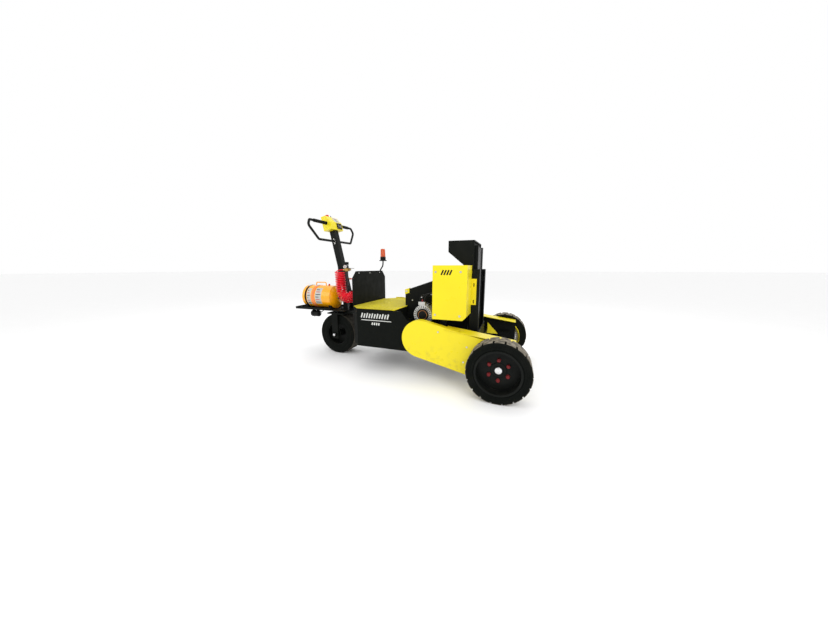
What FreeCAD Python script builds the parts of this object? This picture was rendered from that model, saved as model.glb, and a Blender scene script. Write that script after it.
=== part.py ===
import FreeCAD, Part
import math
import os
from FreeCAD import Vector, Rotation, Placement

# Battery-electric ride-on trailer mover. Millimetres, +Z up, +X towards the drive wheels.
# The origin is on the ground, in the middle of the machine's length and width.

os.makedirs("parts", exist_ok=True)

# Driving dimensions
TYRE_R = 266.7            # 21 x 7 x 15 in press-on drive tyre
TYRE_W = 178.0
RIM_R = 186.0
LIP_R = 194.0
LIP_PROUD = 10.0
HALF_LENGTH = 1466.7
HALF_WIDTH = 775.0
AXLE_X = HALF_LENGTH - TYRE_R
AXLE_Z = TYRE_R
TYRE_IN = HALF_WIDTH - LIP_PROUD - TYRE_W
SHAFT_R = 30.0
RUN = 0.06                # radial running clearance of a shaft in its bearing
GAP = 0.5                 # air gap between pieces that slide past each other
TREAD_LUGS = 18
GROOVE_W = 16.0
GROOVE_D = 13.0

FRAME_Y = 505.0           # outer face of the side frames
PLATE = 10.0
BOX_X0 = -415.0
BOX_X1 = 160.0
BOX_Z0 = 275.0
BOX_Z1 = 690.0
BOX_WALL = 6.0
CHAMFER_X = -290.0
CHAMFER_Y = 375.0

CASE_R = 185.0
CASE_Y = 575.0
CASE_WALL = 3.0
CASE_BOLTS = [(912.0, 408.0), (885.0, 261.0), (640.0, 525.0)]
SPROCKET_X = 454.0
SPROCKET_Z = 437.0
CHAIN_PITCH = 25.4
DRIVER_TEETH = 15
DRIVEN_TEETH = 36
CHAIN_Y0 = 535.0
CHAIN_Y1 = 551.0
TOOTH_OUT = 6.0
TOOTH_IN = 8.0
CHAIN_T = 12.4

MAST_X0 = 878.0
MAST_X1 = 968.0
MAST_Y0 = 215.0
MAST_Y1 = 275.0
MAST_TOP = 1107.0
BEAM_Z0 = 275.0
BEAM_Z1 = 360.0
TABLE_Z0 = 1374.0
TABLE_Z1 = 1386.0
CYLINDER_X = 852.0

KING_X = -820.0
STEER_X = -860.0
STEER_R = 262.0
STEER_W = 240.0
PIVOT_X = -745.0
PIVOT_Z = 790.0
LEAN = 12.8               # degrees that the tiller leans back at rest
TRAY_Z0 = 576.0
TRAY_Z1 = 607.0
TANK_R = 150.0
TANK_Z = 736.0
POST_X = -690.0
POST_Y = -80.0

HINGE_Y = 500.0
HINGE_Z = 701.0
HINGE_R = 9.0
PIN_R = 5.0
FIXED_KNUCKLES = [(-280, -220), (-100, -40), (60, 110)]
HATCH_KNUCKLES = [(-219, -161), (-39, 19)]
HATCH_X1 = 128.0
COVER_Y = 150.0
COVER_X1 = 805.0
DISC_Y = 671.0
MOTOR_X = 430.0
MOTOR_Z = 647.0

TUBE_HALF = 38.0          # the tiller's column is 76 mm square
HEAD_Z0 = 1605.0
HEAD_Z1 = 1782.0
GRIP_Z = 1692.0
BAR_Z = 1472.0
BAR_R = 14.0
STOP_X = PIVOT_X - 25.0
STOP_Y = -32.0
KEY_Y = 36.0
BUTTON_YS = (30.0, 70.0)
BUTTON_Z = 1656.0
LEVER_X = POST_X + 40.0

COIL_R = 65.0             # outer radius of the recoil hose's turns
HOSE_R = 7.0
COIL_BENDS = (80.0, 71.0)
COIL = [Vector(-730, -178, 1076), Vector(-712, -178, 754), Vector(-536, -178, 754), Vector(-536, -178, 838)]
LEAD_TOP = [Vector(-726, -84, 1096), Vector(-764, -90, 1095), Vector(-798, -118, 1090), Vector(-794, -166, 1076)]
LEAD_LOW = [Vector(-536, -124, 838), Vector(-535, -118, 878), Vector(-552, -106, 930), Vector(-582, -92, 966),
            Vector(-620, -80, 982), Vector(-664, -80, 984)]

X, Y, Z = Vector(1, 0, 0), Vector(0, 1, 0), Vector(0, 0, 1)
nodes = {}


def box(x0, x1, y0, y1, z0, z1):
    return Part.makeBox(x1 - x0, y1 - y0, z1 - z0, Vector(x0, y0, z0))


def rod_x(x0, x1, y, z, r):
    return Part.makeCylinder(r, x1 - x0, Vector(x0, y, z), X)


def rod_y(x, y0, y1, z, r):
    return Part.makeCylinder(r, y1 - y0, Vector(x, y0, z), Y)


def rod_z(x, y, z0, z1, r):
    return Part.makeCylinder(r, z1 - z0, Vector(x, y, z0), Z)


def prism_y(points, y0, y1):
    """An outline in XZ, pushed along Y."""
    ring = [Vector(x, y0, z) for x, z in points]
    return Part.Face(Part.makePolygon(ring + ring[:1])).extrude(Vector(0, y1 - y0, 0))


def prism_z(points, z0, z1):
    """An outline in XY, pushed along Z."""
    ring = [Vector(x, y, z0) for x, y in points]
    return Part.Face(Part.makePolygon(ring + ring[:1])).extrude(Vector(0, 0, z1 - z0))


def prism_x(points, x0, x1):
    """An outline in YZ, pushed along X."""
    ring = [Vector(x0, y, z) for y, z in points]
    return Part.Face(Part.makePolygon(ring + ring[:1])).extrude(Vector(x1 - x0, 0, 0))


def mirrored(shape):
    return shape.mirror(Vector(0, 0, 0), Y)


def pair(shape):
    return [shape.copy(), mirrored(shape)]


def fuse(shapes):
    whole = shapes[0]
    for other in shapes[1:]:
        whole = whole.fuse(other)
    return whole.removeSplitter()


def put(name, *shapes):
    """One node: a single solid, or a group of separate solids."""
    nodes[name] = list(shapes)


def belt_face(x0, z0, r0, x1, z1, r1, y):
    """The outline of a belt round two circles whose axes run along Y."""
    reach = math.hypot(x1 - x0, z1 - z0)
    along = math.atan2(z1 - z0, x1 - x0)
    lean = math.acos((r0 - r1) / reach)

    def on(cx, cz, r, angle):
        return Vector(cx + r * math.cos(angle), y, cz + r * math.sin(angle))

    up, down = along + lean, along - lean
    edges = [
        Part.LineSegment(on(x0, z0, r0, up), on(x1, z1, r1, up)),
        Part.Arc(on(x1, z1, r1, up), on(x1, z1, r1, along), on(x1, z1, r1, down)),
        Part.LineSegment(on(x1, z1, r1, down), on(x0, z0, r0, down)),
        Part.Arc(on(x0, z0, r0, down), on(x0, z0, r0, along + math.pi), on(x0, z0, r0, up)),
    ]
    return Part.Face(Part.Wire([edge.toShape() for edge in edges]))


def belt(x0, z0, r0, x1, z1, r1, y0, y1):
    return belt_face(x0, z0, r0, x1, z1, r1, y0).extrude(Vector(0, y1 - y0, 0))


def bent_path(points, bends):
    """Straight runs joined by tangent arcs, one bend radius for each inner point."""
    edges = []
    start = points[0]
    for before, corner, after, bend in zip(points, points[1:], points[2:], bends):
        back = (before - corner).normalize()
        ahead = (after - corner).normalize()
        half = math.acos(max(-1.0, min(1.0, back.dot(ahead)))) / 2
        cut = bend / math.tan(half)
        middle = (back + ahead).normalize() * (bend / math.sin(half) - bend)
        first, last = corner + back * cut, corner + ahead * cut
        edges.append(Part.LineSegment(start, first))
        edges.append(Part.Arc(first, corner + middle, last))
        start = last
    edges.append(Part.LineSegment(start, points[-1]))
    return Part.Wire([edge.toShape() for edge in edges])


def bent_tube(points, bends, r):
    path = bent_path(points, bends)
    circle = Part.Wire(Part.makeCircle(r, points[0], (points[1] - points[0])))
    return path.makePipeShell([circle], True, False)


def hex_head(centre, axis, across, height):
    """A hexagon bolt head or nut, standing on its face."""
    ring = [Vector(across / math.sqrt(3) * math.cos(math.radians(60 * i)),
                   across / math.sqrt(3) * math.sin(math.radians(60 * i)), 0) for i in range(6)]
    head = Part.Face(Part.makePolygon(ring + ring[:1])).extrude(Vector(0, 0, height))
    head.Placement = Placement(centre, Rotation(Z, axis))
    return head


def lean(shape):
    return shape.rotate(Vector(PIVOT_X, 0, PIVOT_Z), Y, -LEAN)


# ---- Chassis ----

def battery_box():
    """Welded open-topped box with chamfered rear corners, and the fixed half of the hatch hinge."""
    def outline(inset):
        return [(BOX_X0 + inset, -CHAMFER_Y), (CHAMFER_X, -FRAME_Y + inset), (BOX_X1 - inset, -FRAME_Y + inset),
                (BOX_X1 - inset, FRAME_Y - inset), (CHAMFER_X, FRAME_Y - inset), (BOX_X0 + inset, CHAMFER_Y)]
    shell = prism_z(outline(0), BOX_Z0, BOX_Z1).cut(prism_z(outline(BOX_WALL), BOX_Z0 + BOX_WALL, BOX_Z1 + 1))
    knuckles = [rod_x(x0, x1, HINGE_Y, HINGE_Z, HINGE_R) for x0, x1 in FIXED_KNUCKLES]
    leaves = [box(x0, x1, FRAME_Y - 1, FRAME_Y + 4, HINGE_Z - 60, HINGE_Z) for x0, x1 in FIXED_KNUCKLES]
    pin = rod_x(FIXED_KNUCKLES[0][0], FIXED_KNUCKLES[-1][1], HINGE_Y, HINGE_Z, PIN_R)
    strips = pair(box(HATCH_X1 + 4, BOX_X1, COVER_Y + 1, FRAME_Y, BOX_Z1, BOX_Z1 + 5))
    put("battery_box", fuse([shell] + strips + leaves + knuckles + [pin]))


def battery_hatch():
    """The standing deck, hinged along the far side over the batteries."""
    inset = 7.0
    outline = [(BOX_X0 + inset, -CHAMFER_Y), (CHAMFER_X, -FRAME_Y + 2), (HATCH_X1, -FRAME_Y + 2),
               (HATCH_X1, HINGE_Y - 3), (CHAMFER_X, HINGE_Y - 3), (BOX_X0 + inset, CHAMFER_Y)]
    plate = prism_z(outline, BOX_Z1 + GAP, BOX_Z1 + GAP + 5)
    slots = [box(x0 - 1, x1 + 1, HINGE_Y - HINGE_R - 1, HINGE_Y + 5, BOX_Z1, HINGE_Z) for x0, x1 in FIXED_KNUCKLES]
    for slot in slots:
        plate = plate.cut(slot)
    bore = rod_x(BOX_X0, BOX_X1, HINGE_Y, HINGE_Z, PIN_R + RUN)
    tubes = [rod_x(x0, x1, HINGE_Y, HINGE_Z, HINGE_R) for x0, x1 in HATCH_KNUCKLES]
    put("battery_hatch", fuse([plate] + tubes).cut(bore))


def batteries():
    """Four deep-cycle batteries, side by side, each with two terminals."""
    blocks = []
    for row in range(2):
        for column in range(2):
            x0, y0 = -270 + row * 210, -400 + column * 410
            case = box(x0, x0 + 190, y0, y0 + 390, BOX_Z0 + BOX_WALL, 560)
            posts = [rod_z(x0 + 95, y0 + end, 555, 580, 12) for end in (50, 340)]
            blocks.append(fuse([case] + posts))
    put("batteries", *blocks)


def side_frames():
    outline = [(BOX_X1, BOX_Z0), (880, BOX_Z0), (1040, 120), (1330, 120), (1330, 455), (750, 545), (300, 590),
               (230, BOX_Z1 - 10), (BOX_X1, BOX_Z1 - 2)]
    plate = prism_y(outline, FRAME_Y - PLATE, FRAME_Y)
    plate = plate.cut(rod_y(AXLE_X, 400, 600, AXLE_Z, 45)).cut(rod_y(SPROCKET_X, 400, 600, SPROCKET_Z, 32))
    put("side_frames", *pair(plate))


def cross_members():
    inner = FRAME_Y - PLATE
    rear = box(600, 640, -inner, inner, BEAM_Z0, BEAM_Z0 + 60)
    sill = box(MAST_X0 - 30, MAST_X1 + 30, -inner, inner, BEAM_Z0, BEAM_Z1)
    foot = box(MAST_X1, MAST_X1 + 10, -MAST_Y1, MAST_Y1, BEAM_Z1, BEAM_Z1 + 130)
    put("cross_members", rear, sill, foot)


def neck():
    """Arm over the steered wheel, with the kingpin bearing at its end."""
    arm = prism_z([(BOX_X0, -200), (BOX_X0, 200), (KING_X, 80), (KING_X, -80)], 550, 570)
    ring = rod_z(KING_X, 0, 546, 574, 80)
    webs = [box(BOX_X0 - 75, BOX_X0, y - 5, y + 5, 450, 550) for y in (-150, 150)]
    arm = fuse([arm, ring] + webs).cut(rod_z(KING_X, 0, 500, 600, SHAFT_R + RUN))
    put("neck", arm)


def chain_cases():
    """Dished guards bolted over each chain, open to the side frame."""
    outer = belt(SPROCKET_X, SPROCKET_Z, CASE_R, AXLE_X, AXLE_Z, CASE_R - 0.01, FRAME_Y, CASE_Y)
    inner = belt(SPROCKET_X, SPROCKET_Z, CASE_R - CASE_WALL, AXLE_X, AXLE_Z, CASE_R - CASE_WALL - 0.01,
                 FRAME_Y - 1, CASE_Y - CASE_WALL)
    dish = outer.cut(inner).cut(rod_y(AXLE_X, 400, 600, AXLE_Z, 60))
    put("chain_cases", *pair(dish))


def guard_plates():
    """Sloping top plates over the chain cases, and the gusset on the far rail."""
    top = prism_y([(700, 553), (1330, 468), (1330, 474), (700, 559)], 420, CASE_Y + 8)
    top = top.cut(belt(SPROCKET_X, SPROCKET_Z, CASE_R + 1, AXLE_X, AXLE_Z, CASE_R + 0.9, FRAME_Y, CASE_Y + 1))
    gusset = prism_y([(1000, 300), (1130, 300), (1000, 440)], 470, 480)
    put("guard_plates", *pair(top), gusset)


def sprocket(x, z, teeth, y0, y1, bore):
    pitch_r = CHAIN_PITCH / (2 * math.sin(math.pi / teeth))
    ring = []
    step = 2 * math.pi / teeth
    for tooth in range(teeth):
        for share, r in ((-0.30, -TOOTH_IN), (-0.12, TOOTH_OUT), (0.12, TOOTH_OUT), (0.30, -TOOTH_IN)):
            angle = (tooth + share) * step
            ring.append((x + (pitch_r + r) * math.cos(angle), z + (pitch_r + r) * math.sin(angle)))
    wheel = prism_y(ring, y0, y1)
    return wheel.cut(rod_y(x, y0 - 1, y1 + 1, z, bore)) if bore else wheel


def pitch_radius(teeth):
    return CHAIN_PITCH / (2 * math.sin(math.pi / teeth))


def chains():
    """Plain loops in place of the roller chain, just outside the tooth tips."""
    small = pitch_radius(DRIVER_TEETH) + TOOTH_OUT + GAP
    large = pitch_radius(DRIVEN_TEETH) + TOOTH_OUT + GAP
    loop = belt(SPROCKET_X, SPROCKET_Z, small + CHAIN_T, AXLE_X, AXLE_Z, large + CHAIN_T, CHAIN_Y0, CHAIN_Y1)
    loop = loop.cut(belt(SPROCKET_X, SPROCKET_Z, small, AXLE_X, AXLE_Z, large, CHAIN_Y0 - 1, CHAIN_Y1 + 1))
    put("chains", *pair(loop))


def transaxle():
    """Gear case, axle tubes to both side frames, and the spur case up to the motor."""
    inner = FRAME_Y - PLATE
    tube = rod_y(SPROCKET_X, -inner, inner, SPROCKET_Z, 45)
    case = rod_y(SPROCKET_X, -100, 100, SPROCKET_Z, 105)
    spur = box(MOTOR_X - 60, MOTOR_X + 60, -COVER_Y + 6, -95, SPROCKET_Z, MOTOR_Z + 40)
    body = fuse([tube, case, spur])
    for side in (-1, 1):
        body = body.cut(rod_y(SPROCKET_X, min(side * 420, side * 500), max(side * 420, side * 500),
                              SPROCKET_Z, 20 + RUN))
    put("transaxle", body)


def drive_motor():
    """Electric motor with cooling ribs, its terminal box on top and a nose into the spur case."""
    barrel = rod_y(MOTOR_X, -405, -155, MOTOR_Z, 92)
    ribs = [rod_y(MOTOR_X, -400 + 20 * i, -390 + 20 * i, MOTOR_Z, 100) for i in range(12)]
    cap = rod_y(MOTOR_X, -415, -400, MOTOR_Z, 47)
    nose = rod_y(MOTOR_X, -156, -COVER_Y + 6, MOTOR_Z, 40)
    terminals = box(MOTOR_X - 50, MOTOR_X + 45, -370, -230, MOTOR_Z + 80, 752)
    put("drive_motor", fuse([barrel] + ribs + [cap, nose, terminals]))


def hydraulic_unit():
    """Reservoir with a breather cap, and the pump motor behind it."""
    tank = box(430, 560, -300, -COVER_Y, 760, 822)
    cap = rod_z(490, -255, 820, 846, 21)
    put("hydraulic_unit", fuse([tank, cap]))


def centre_cover():
    """Folded sheet cover over the gear case, open underneath."""
    outline = [(BOX_X1 - 27, BOX_Z1 + 1), (BOX_X1 - 27, 870), (457, 982), (COVER_X1, 982), (COVER_X1, 560),
               (BOX_X1 + 2, 560), (BOX_X1 + 2, BOX_Z1 + 1)]
    inner = [(BOX_X1 - 24, 500), (BOX_X1 - 24, 868), (458, 979), (COVER_X1 - 3, 979), (COVER_X1 - 3, 500)]
    shell = prism_y(outline, -COVER_Y, COVER_Y).cut(prism_y(inner, -COVER_Y + 3, COVER_Y - 3))
    shell = shell.cut(rod_y(MOTOR_X, -COVER_Y - 1, -COVER_Y + 4, MOTOR_Z, 60))
    put("centre_cover", shell)
    clip = prism_y([(130, 824), (130, 878), (182, 896), (182, 842)], -COVER_Y - 6, -COVER_Y + 34)
    put("cover_latch", clip.cut(prism_y(outline, -COVER_Y, COVER_Y)))


def control_box():
    """Hollow electrical enclosure with a screwed front lid and the motor controller inside."""
    x0, x1, y0, y1, z0, z1 = 572.0, 892.0, -545.0, -281.5, 641.0, 1144.0
    cut = 34.0
    outline = [(x0, z0), (x1 - cut, z0), (x1, z0 + cut), (x1, z1), (x0, z1)]
    inside = [(x0 + 3, z0 + 3), (x1 - cut - 1, z0 + 3), (x1 - 3, z0 + cut + 1), (x1 - 3, z1 - 3), (x0 + 3, z1 - 3)]
    shell = prism_y(outline, y0, y1).cut(prism_y(inside, y0 - 1, y1 - 3))
    put("control_box", shell)
    lid = prism_y(outline, y0 - 4, y0)
    put("control_lid", lid)
    put("controller", box(640, 820, -400, y1 - 3, 760, 1010))
    screws = [hex_head(Vector(x, y0 - 4, z), -Y, 11, 5)
              for x, z in ((x0 + 28, z0 + 42), (x0 + 28, z1 - 60), (x1 - 60, z0 + 42), (x1 - 60, z1 - 60))]
    return screws


def mast_bracket():
    """Slotted plate between the enclosure and the mast column."""
    plate = box(800, 940, -281.5, -275, 758, 1015)
    slots = []
    for z in (790, 955):
        slots += [box(910, 920, -290, -270, z - 14, z + 14), rod_y(915, -290, -270, z - 14, 5),
                  rod_y(915, -290, -270, z + 14, 5)]
    for slot in slots:
        plate = plate.cut(slot)
    put("mast_bracket", plate)


def mast_columns():
    """Two fixed channels, open towards each other: a web and two flanges each."""
    web = box(MAST_X0, MAST_X1, MAST_Y1 - 7, MAST_Y1, BEAM_Z1, MAST_TOP)
    rear = box(MAST_X0, MAST_X0 + 10, MAST_Y0, MAST_Y1 - 7, BEAM_Z1, MAST_TOP)
    front = box(MAST_X1 - 10, MAST_X1, MAST_Y0, MAST_Y1 - 7, BEAM_Z1, MAST_TOP)
    put("mast_columns", *pair(web), *pair(rear), *pair(front))


def lift_mast():
    """Inner posts with rollers in the channels, and the plate between the posts."""
    posts = pair(box(886, 936, 150, 205, BEAM_Z1 + 6, 1340))
    rollers = []
    for z in (430, 1000):
        rollers += pair(rod_y((MAST_X0 + MAST_X1) / 2, 205, MAST_Y1 - 8, z, 34.4))
    plate = box(921, 927, -150, 150, 600, 1330)
    put("lift_mast", *posts, *rollers, plate)


def lift_table():
    """Folded rest for the trailer: a top, a back and two side gussets, with four bolt holes in the top."""
    top = box(650, 905, -270, 270, TABLE_Z0, TABLE_Z1)
    back = box(878, 886, -262, 262, 1120, TABLE_Z0)
    outline = [(650, TABLE_Z0), (905, TABLE_Z0), (905, 1114), (872, 1114), (868, 1100), (800, 1153), (650, 1277)]
    gussets = pair(prism_y(outline, 262, 270))
    table = fuse([top, back] + gussets)
    for x in (700, 800):
        for y in (-200, 200):
            table = table.cut(rod_z(x, y, TABLE_Z0 - 1, TABLE_Z1 + 1, 7))
    put("lift_table", table)


def lift_cylinder():
    barrel = rod_z(CYLINDER_X, 0, BEAM_Z1, 1000, 32).cut(rod_z(CYLINDER_X, 0, 480, 1001, 20 + RUN))
    put("lift_cylinder", barrel)
    put("lift_rod", rod_z(CYLINDER_X, 0, 520, TABLE_Z0, 20))


def back_panel():
    x1 = BOX_X0
    outline = [(-350, 572), (390, 572), (420, 700), (420, 1003), (340, 1083), (-300, 1083), (-380, 1003), (-380, 700)]
    put("back_panel", prism_x(outline, x1 - 6, x1))


def beacon():
    """Bent stalk, base dish and lens on the back panel's far corner."""
    x = BOX_X0 - 6 - 9
    points = [Vector(x, 280, 940), Vector(x, 300, 1080), Vector(x, 392, 1150), Vector(x, 398, 1216)]
    stalk = bent_tube(points, [90, 60], 9)
    base = rod_z(x, 398, 1213, 1222, 50).fuse(rod_z(x, 398, 1222, 1260, 38))
    put("beacon_stalk", fuse([stalk, base]))
    lens = Part.makeCone(35, 31, 100, Vector(x, 398, 1260), Z)
    put("beacon_lens", lens.fuse(Part.makeSphere(31, Vector(x, 398, 1360)).common(
        rod_z(x, 398, 1360, 1375, 40))).removeSplitter())


def frame_bolts(screws):
    """Hexagon heads on the panel, the cover, the chain cases and the guard plates."""
    heads = list(screws)
    for y, z in ((-330, 640), (330, 640), (0, 640)):
        heads.append(hex_head(Vector(BOX_X0 - 6, y, z), -X, 17, 8))
    for y in (-250, 0, 250):
        heads.append(hex_head(Vector(BOX_X0, y, 1060), X, 13, 6))
    for side in (-1, 1):
        for x in (220, 330):
            heads.append(hex_head(Vector(x, side * COVER_Y, 760 + (x - 220) * 0.34), Y * side, 13, 6))
        for x, z in CASE_BOLTS:
            heads.append(hex_head(Vector(x, side * CASE_Y, z), Y * side, 15, 6))
    put("frame_bolts", *heads)


# ---- Wheels ----

def drive_tyre():
    """Press-on tyre with square lugs cut in from both shoulders, staggered."""
    y0, y1 = TYRE_IN, TYRE_IN + TYRE_W
    tyre = rod_y(AXLE_X, y0, y1, AXLE_Z, TYRE_R)
    tyre = tyre.cut(rod_y(AXLE_X, y0 - 1, y1 + 1, AXLE_Z, RIM_R))
    grooves = []
    for lug in range(TREAD_LUGS):
        for edge, shift in ((y0, 0.0), (y1, 0.5)):
            into = edge + 62 if edge == y0 else edge - 62
            groove = box(AXLE_X - GROOVE_W / 2, AXLE_X + GROOVE_W / 2, min(edge - 1, into), max(edge + 1, into),
                         AXLE_Z + TYRE_R - GROOVE_D, AXLE_Z + TYRE_R + 5)
            groove.rotate(Vector(AXLE_X, 0, AXLE_Z), Y, (lug + shift) * 360.0 / TREAD_LUGS)
            grooves.append(groove)
    return tyre.cut(Part.makeCompound(grooves))


def drive_rim():
    """Rolled rim with a raised lip and a deeply recessed disc."""
    y0, y1 = TYRE_IN, HALF_WIDTH
    barrel = rod_y(AXLE_X, y0, y1, AXLE_Z, RIM_R - 0.01)
    lip = rod_y(AXLE_X, y1 - LIP_PROUD, y1, AXLE_Z, LIP_R)
    rim = barrel.fuse(lip).cut(rod_y(AXLE_X, y0 - 1, y1 + 1, AXLE_Z, RIM_R - 9))
    disc = rod_y(AXLE_X, DISC_Y - 10, DISC_Y, AXLE_Z, RIM_R - 8).cut(rod_y(AXLE_X, 600, 700, AXLE_Z, 55))
    return rim.fuse(disc).removeSplitter()


def drive_hub():
    """Flange behind the disc, nose through it, and the shaft that carries the sprocket."""
    flange = rod_y(AXLE_X, DISC_Y - 30, DISC_Y - 10, AXLE_Z, 120)
    nose = rod_y(AXLE_X, DISC_Y - 30, DISC_Y + 3, AXLE_Z, 54)
    cap = rod_y(AXLE_X, DISC_Y + 3, DISC_Y + 19, AXLE_Z, 30)
    shaft = rod_y(AXLE_X, 450, DISC_Y - 30, AXLE_Z, SHAFT_R)
    return fuse([flange, nose, cap, shaft])


def wheel_nuts():
    nuts = []
    for i in range(6):
        angle = math.radians(90 - 60 * i)
        centre = Vector(AXLE_X + 90 * math.cos(angle), DISC_Y, AXLE_Z + 90 * math.sin(angle))
        nuts.append(hex_head(centre, Y, 27, 20))
    return nuts


def wheels():
    driven = sprocket(AXLE_X, AXLE_Z, DRIVEN_TEETH, CHAIN_Y0, CHAIN_Y1, SHAFT_R)
    driver = fuse([sprocket(SPROCKET_X, SPROCKET_Z, DRIVER_TEETH, CHAIN_Y0, CHAIN_Y1, 0),
                   rod_y(SPROCKET_X, 430, 560, SPROCKET_Z, 20)])
    pieces = {"tyre": [drive_tyre()], "rim": [drive_rim()], "hub": [drive_hub()] + wheel_nuts(),
              "wheel_sprocket": [driven], "drive_sprocket": [driver]}
    for piece, shapes in pieces.items():
        put("left_" + piece, *shapes)
        put("right_" + piece, *[mirrored(shape) for shape in shapes])


def axle_bearings():
    """Flanged bearing blocks inside the side frames, one for each wheel shaft."""
    block = box(AXLE_X - 70, AXLE_X + 70, 455, FRAME_Y - PLATE, AXLE_Z - 70, AXLE_Z + 70)
    block = block.cut(rod_y(AXLE_X, 440, 520, AXLE_Z, SHAFT_R + RUN))
    put("axle_bearings", *pair(block))


# ---- Steering group ----

def fork():
    """Crown with the kingpin welded on, two legs and the fixed axle of the steered wheel."""
    crown = box(KING_X - 150, KING_X + 100, -158, 158, 529, 545.5)
    pin = rod_z(KING_X, 0, 545, TRAY_Z0, SHAFT_R)
    legs = pair(box(STEER_X - 45, STEER_X + 45, 138, 158, 210, 529))
    axle = rod_y(STEER_X, -178, 178, STEER_R, 20)
    nuts = [hex_head(Vector(STEER_X, side * 158, STEER_R), Y * side, 50, 22) for side in (-1, 1)]
    put("fork", fuse([crown, pin] + legs + [axle] + nuts))


def steer_wheel():
    tyre = rod_y(STEER_X, -STEER_W / 2, STEER_W / 2, STEER_R, STEER_R)
    rims = [edge for edge in tyre.Edges if edge.Curve.TypeId == "Part::GeomCircle"]
    tyre = tyre.makeFillet(22, rims).cut(rod_y(STEER_X, -200, 200, STEER_R, 150))
    put("steer_tyre", tyre)
    barrel = rod_y(STEER_X, -114, 114, STEER_R, 149.99).cut(rod_y(STEER_X, -200, 200, STEER_R, 141))
    disc = rod_y(STEER_X, -8, 8, STEER_R, 142)
    hub = rod_y(STEER_X, -112, 112, STEER_R, 45)
    put("steer_rim", fuse([barrel, disc, hub]).cut(rod_y(STEER_X, -120, 120, STEER_R, 20 + RUN)))


def tray():
    """Tank tray bolted over the kingpin, lipped on three sides."""
    x0, x1, lip_x = -HALF_LENGTH, -690.0, -900.0
    floor = box(x0, x1, -185, 185, TRAY_Z0, TRAY_Z0 + 6)
    sides = pair(box(x0, lip_x, 181, 185, TRAY_Z0, TRAY_Z1))
    rear = box(x0, x0 + 4, -185, 185, TRAY_Z0, TRAY_Z1)
    put("tray", fuse([floor] + sides + [rear]))


def air_tank():
    """Portable pressed-steel air tank, lying along the tray, with a carrying handle and an open port."""
    def body(x0, x1, r, dome):
        bulge = (r * r + dome * dome) / (2 * dome)
        rise = math.sqrt(bulge * bulge - (bulge - dome / 2) ** 2)
        a, b = Vector(x0, 0, TANK_Z), Vector(x0 + dome, 0, TANK_Z + r)
        c, d = Vector(x1 - dome, 0, TANK_Z + r), Vector(x1, 0, TANK_Z)
        edges = [Part.Arc(a, Vector(x0 + dome / 2, 0, TANK_Z + rise), b), Part.LineSegment(b, c),
                 Part.Arc(c, Vector(x1 - dome / 2, 0, TANK_Z + rise), d), Part.LineSegment(d, a)]
        face = Part.Face(Part.Wire([edge.toShape() for edge in edges]))
        return face.revolve(Vector(0, 0, TANK_Z), X, 360)
    x0, x1, top = -1432.0, -874.0, TANK_Z + TANK_R
    ends = [Vector(-1256, 0, top - 3), Vector(-1248, 0, top + 40), Vector(-1094, 0, top + 40),
            Vector(-1086, 0, top - 3)]
    bar = bent_tube(ends, [16, 16], 7)
    shell = body(x0, x1, TANK_R, 62).fuse(bar)
    shell = shell.cut(body(x0 + 3, x1 - 3, TANK_R - 3, 60)).cut(rod_x(x1 - 10, x1 + 1, 0, TANK_Z, 8))
    put("air_tank", shell)


def tank_straps():
    """Two straps round the tank and the saddles that it lies in."""
    pieces = []
    for x0, width in ((-1335, 26), (-1222, 44)):
        ring = rod_x(x0, x0 + width, 0, TANK_Z, TANK_R + 3).cut(rod_x(x0 - 1, x0 + width + 1, 0, TANK_Z, TANK_R + 0.2))
        pieces.append(ring)
    for x0 in (-1370, -980):
        foot = box(x0, x0 + 40, -110, 110, TRAY_Z0 + 6, 640).cut(rod_x(x0 - 1, x0 + 41, 0, TANK_Z, TANK_R + 0.2))
        pieces.append(foot)
    put("tank_straps", *pieces)


def air_manifold():
    """Post with a brass valve block, a gauge, the regulator body and two hose fittings."""
    post = rod_z(POST_X, POST_Y, TRAY_Z0 + 6, 1078, 12)
    block = box(POST_X - 25, POST_X + 25, POST_Y - 14, POST_Y + 18, 1077, 1117)
    regulator = rod_z(POST_X, POST_Y, 1115, 1152, 19)
    stem = rod_z(POST_X, POST_Y, 1150, 1178, 6)
    gauge = rod_y(POST_X, POST_Y - 44, POST_Y - 15, 1134, 21)
    outlet = rod_x(LEAD_TOP[0].x, POST_X - 20, LEAD_TOP[0].y, LEAD_TOP[0].z, 9)
    valve = rod_x(POST_X + 20, LEVER_X + 12, POST_Y, 1097, 11)
    spindle = rod_z(LEVER_X, POST_Y, 1097, 1120, 4)
    inlet = rod_x(POST_X, LEAD_LOW[-1].x, POST_Y, LEAD_LOW[-1].z, 9)
    put("air_manifold", fuse([post, block, regulator, stem, gauge, outlet, valve, spindle, inlet]))
    knob = rod_z(POST_X, POST_Y, 1157, 1192, 21).cut(rod_z(POST_X, POST_Y, 1156, 1180, 6 + RUN))
    put("regulator_knob", knob)
    lever = rod_z(LEVER_X, POST_Y, 1110, 1116, 10).fuse(box(LEVER_X, LEVER_X + 62, POST_Y - 5, POST_Y + 5, 1110, 1116))
    put("valve_lever", lever.removeSplitter().cut(rod_z(LEVER_X, POST_Y, 1109, 1117, 4 + RUN)))


def air_hose():
    """Recoil air hose: the coiled stretch as one fat tube, and the two plain leads to their fittings."""
    put("coil_hose", bent_tube(COIL, COIL_BENDS, COIL_R))
    leads = [bent_tube(route, natural_bends(route), HOSE_R) for route in (LEAD_TOP, LEAD_LOW)]
    put("hose_leads", *leads)


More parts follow.
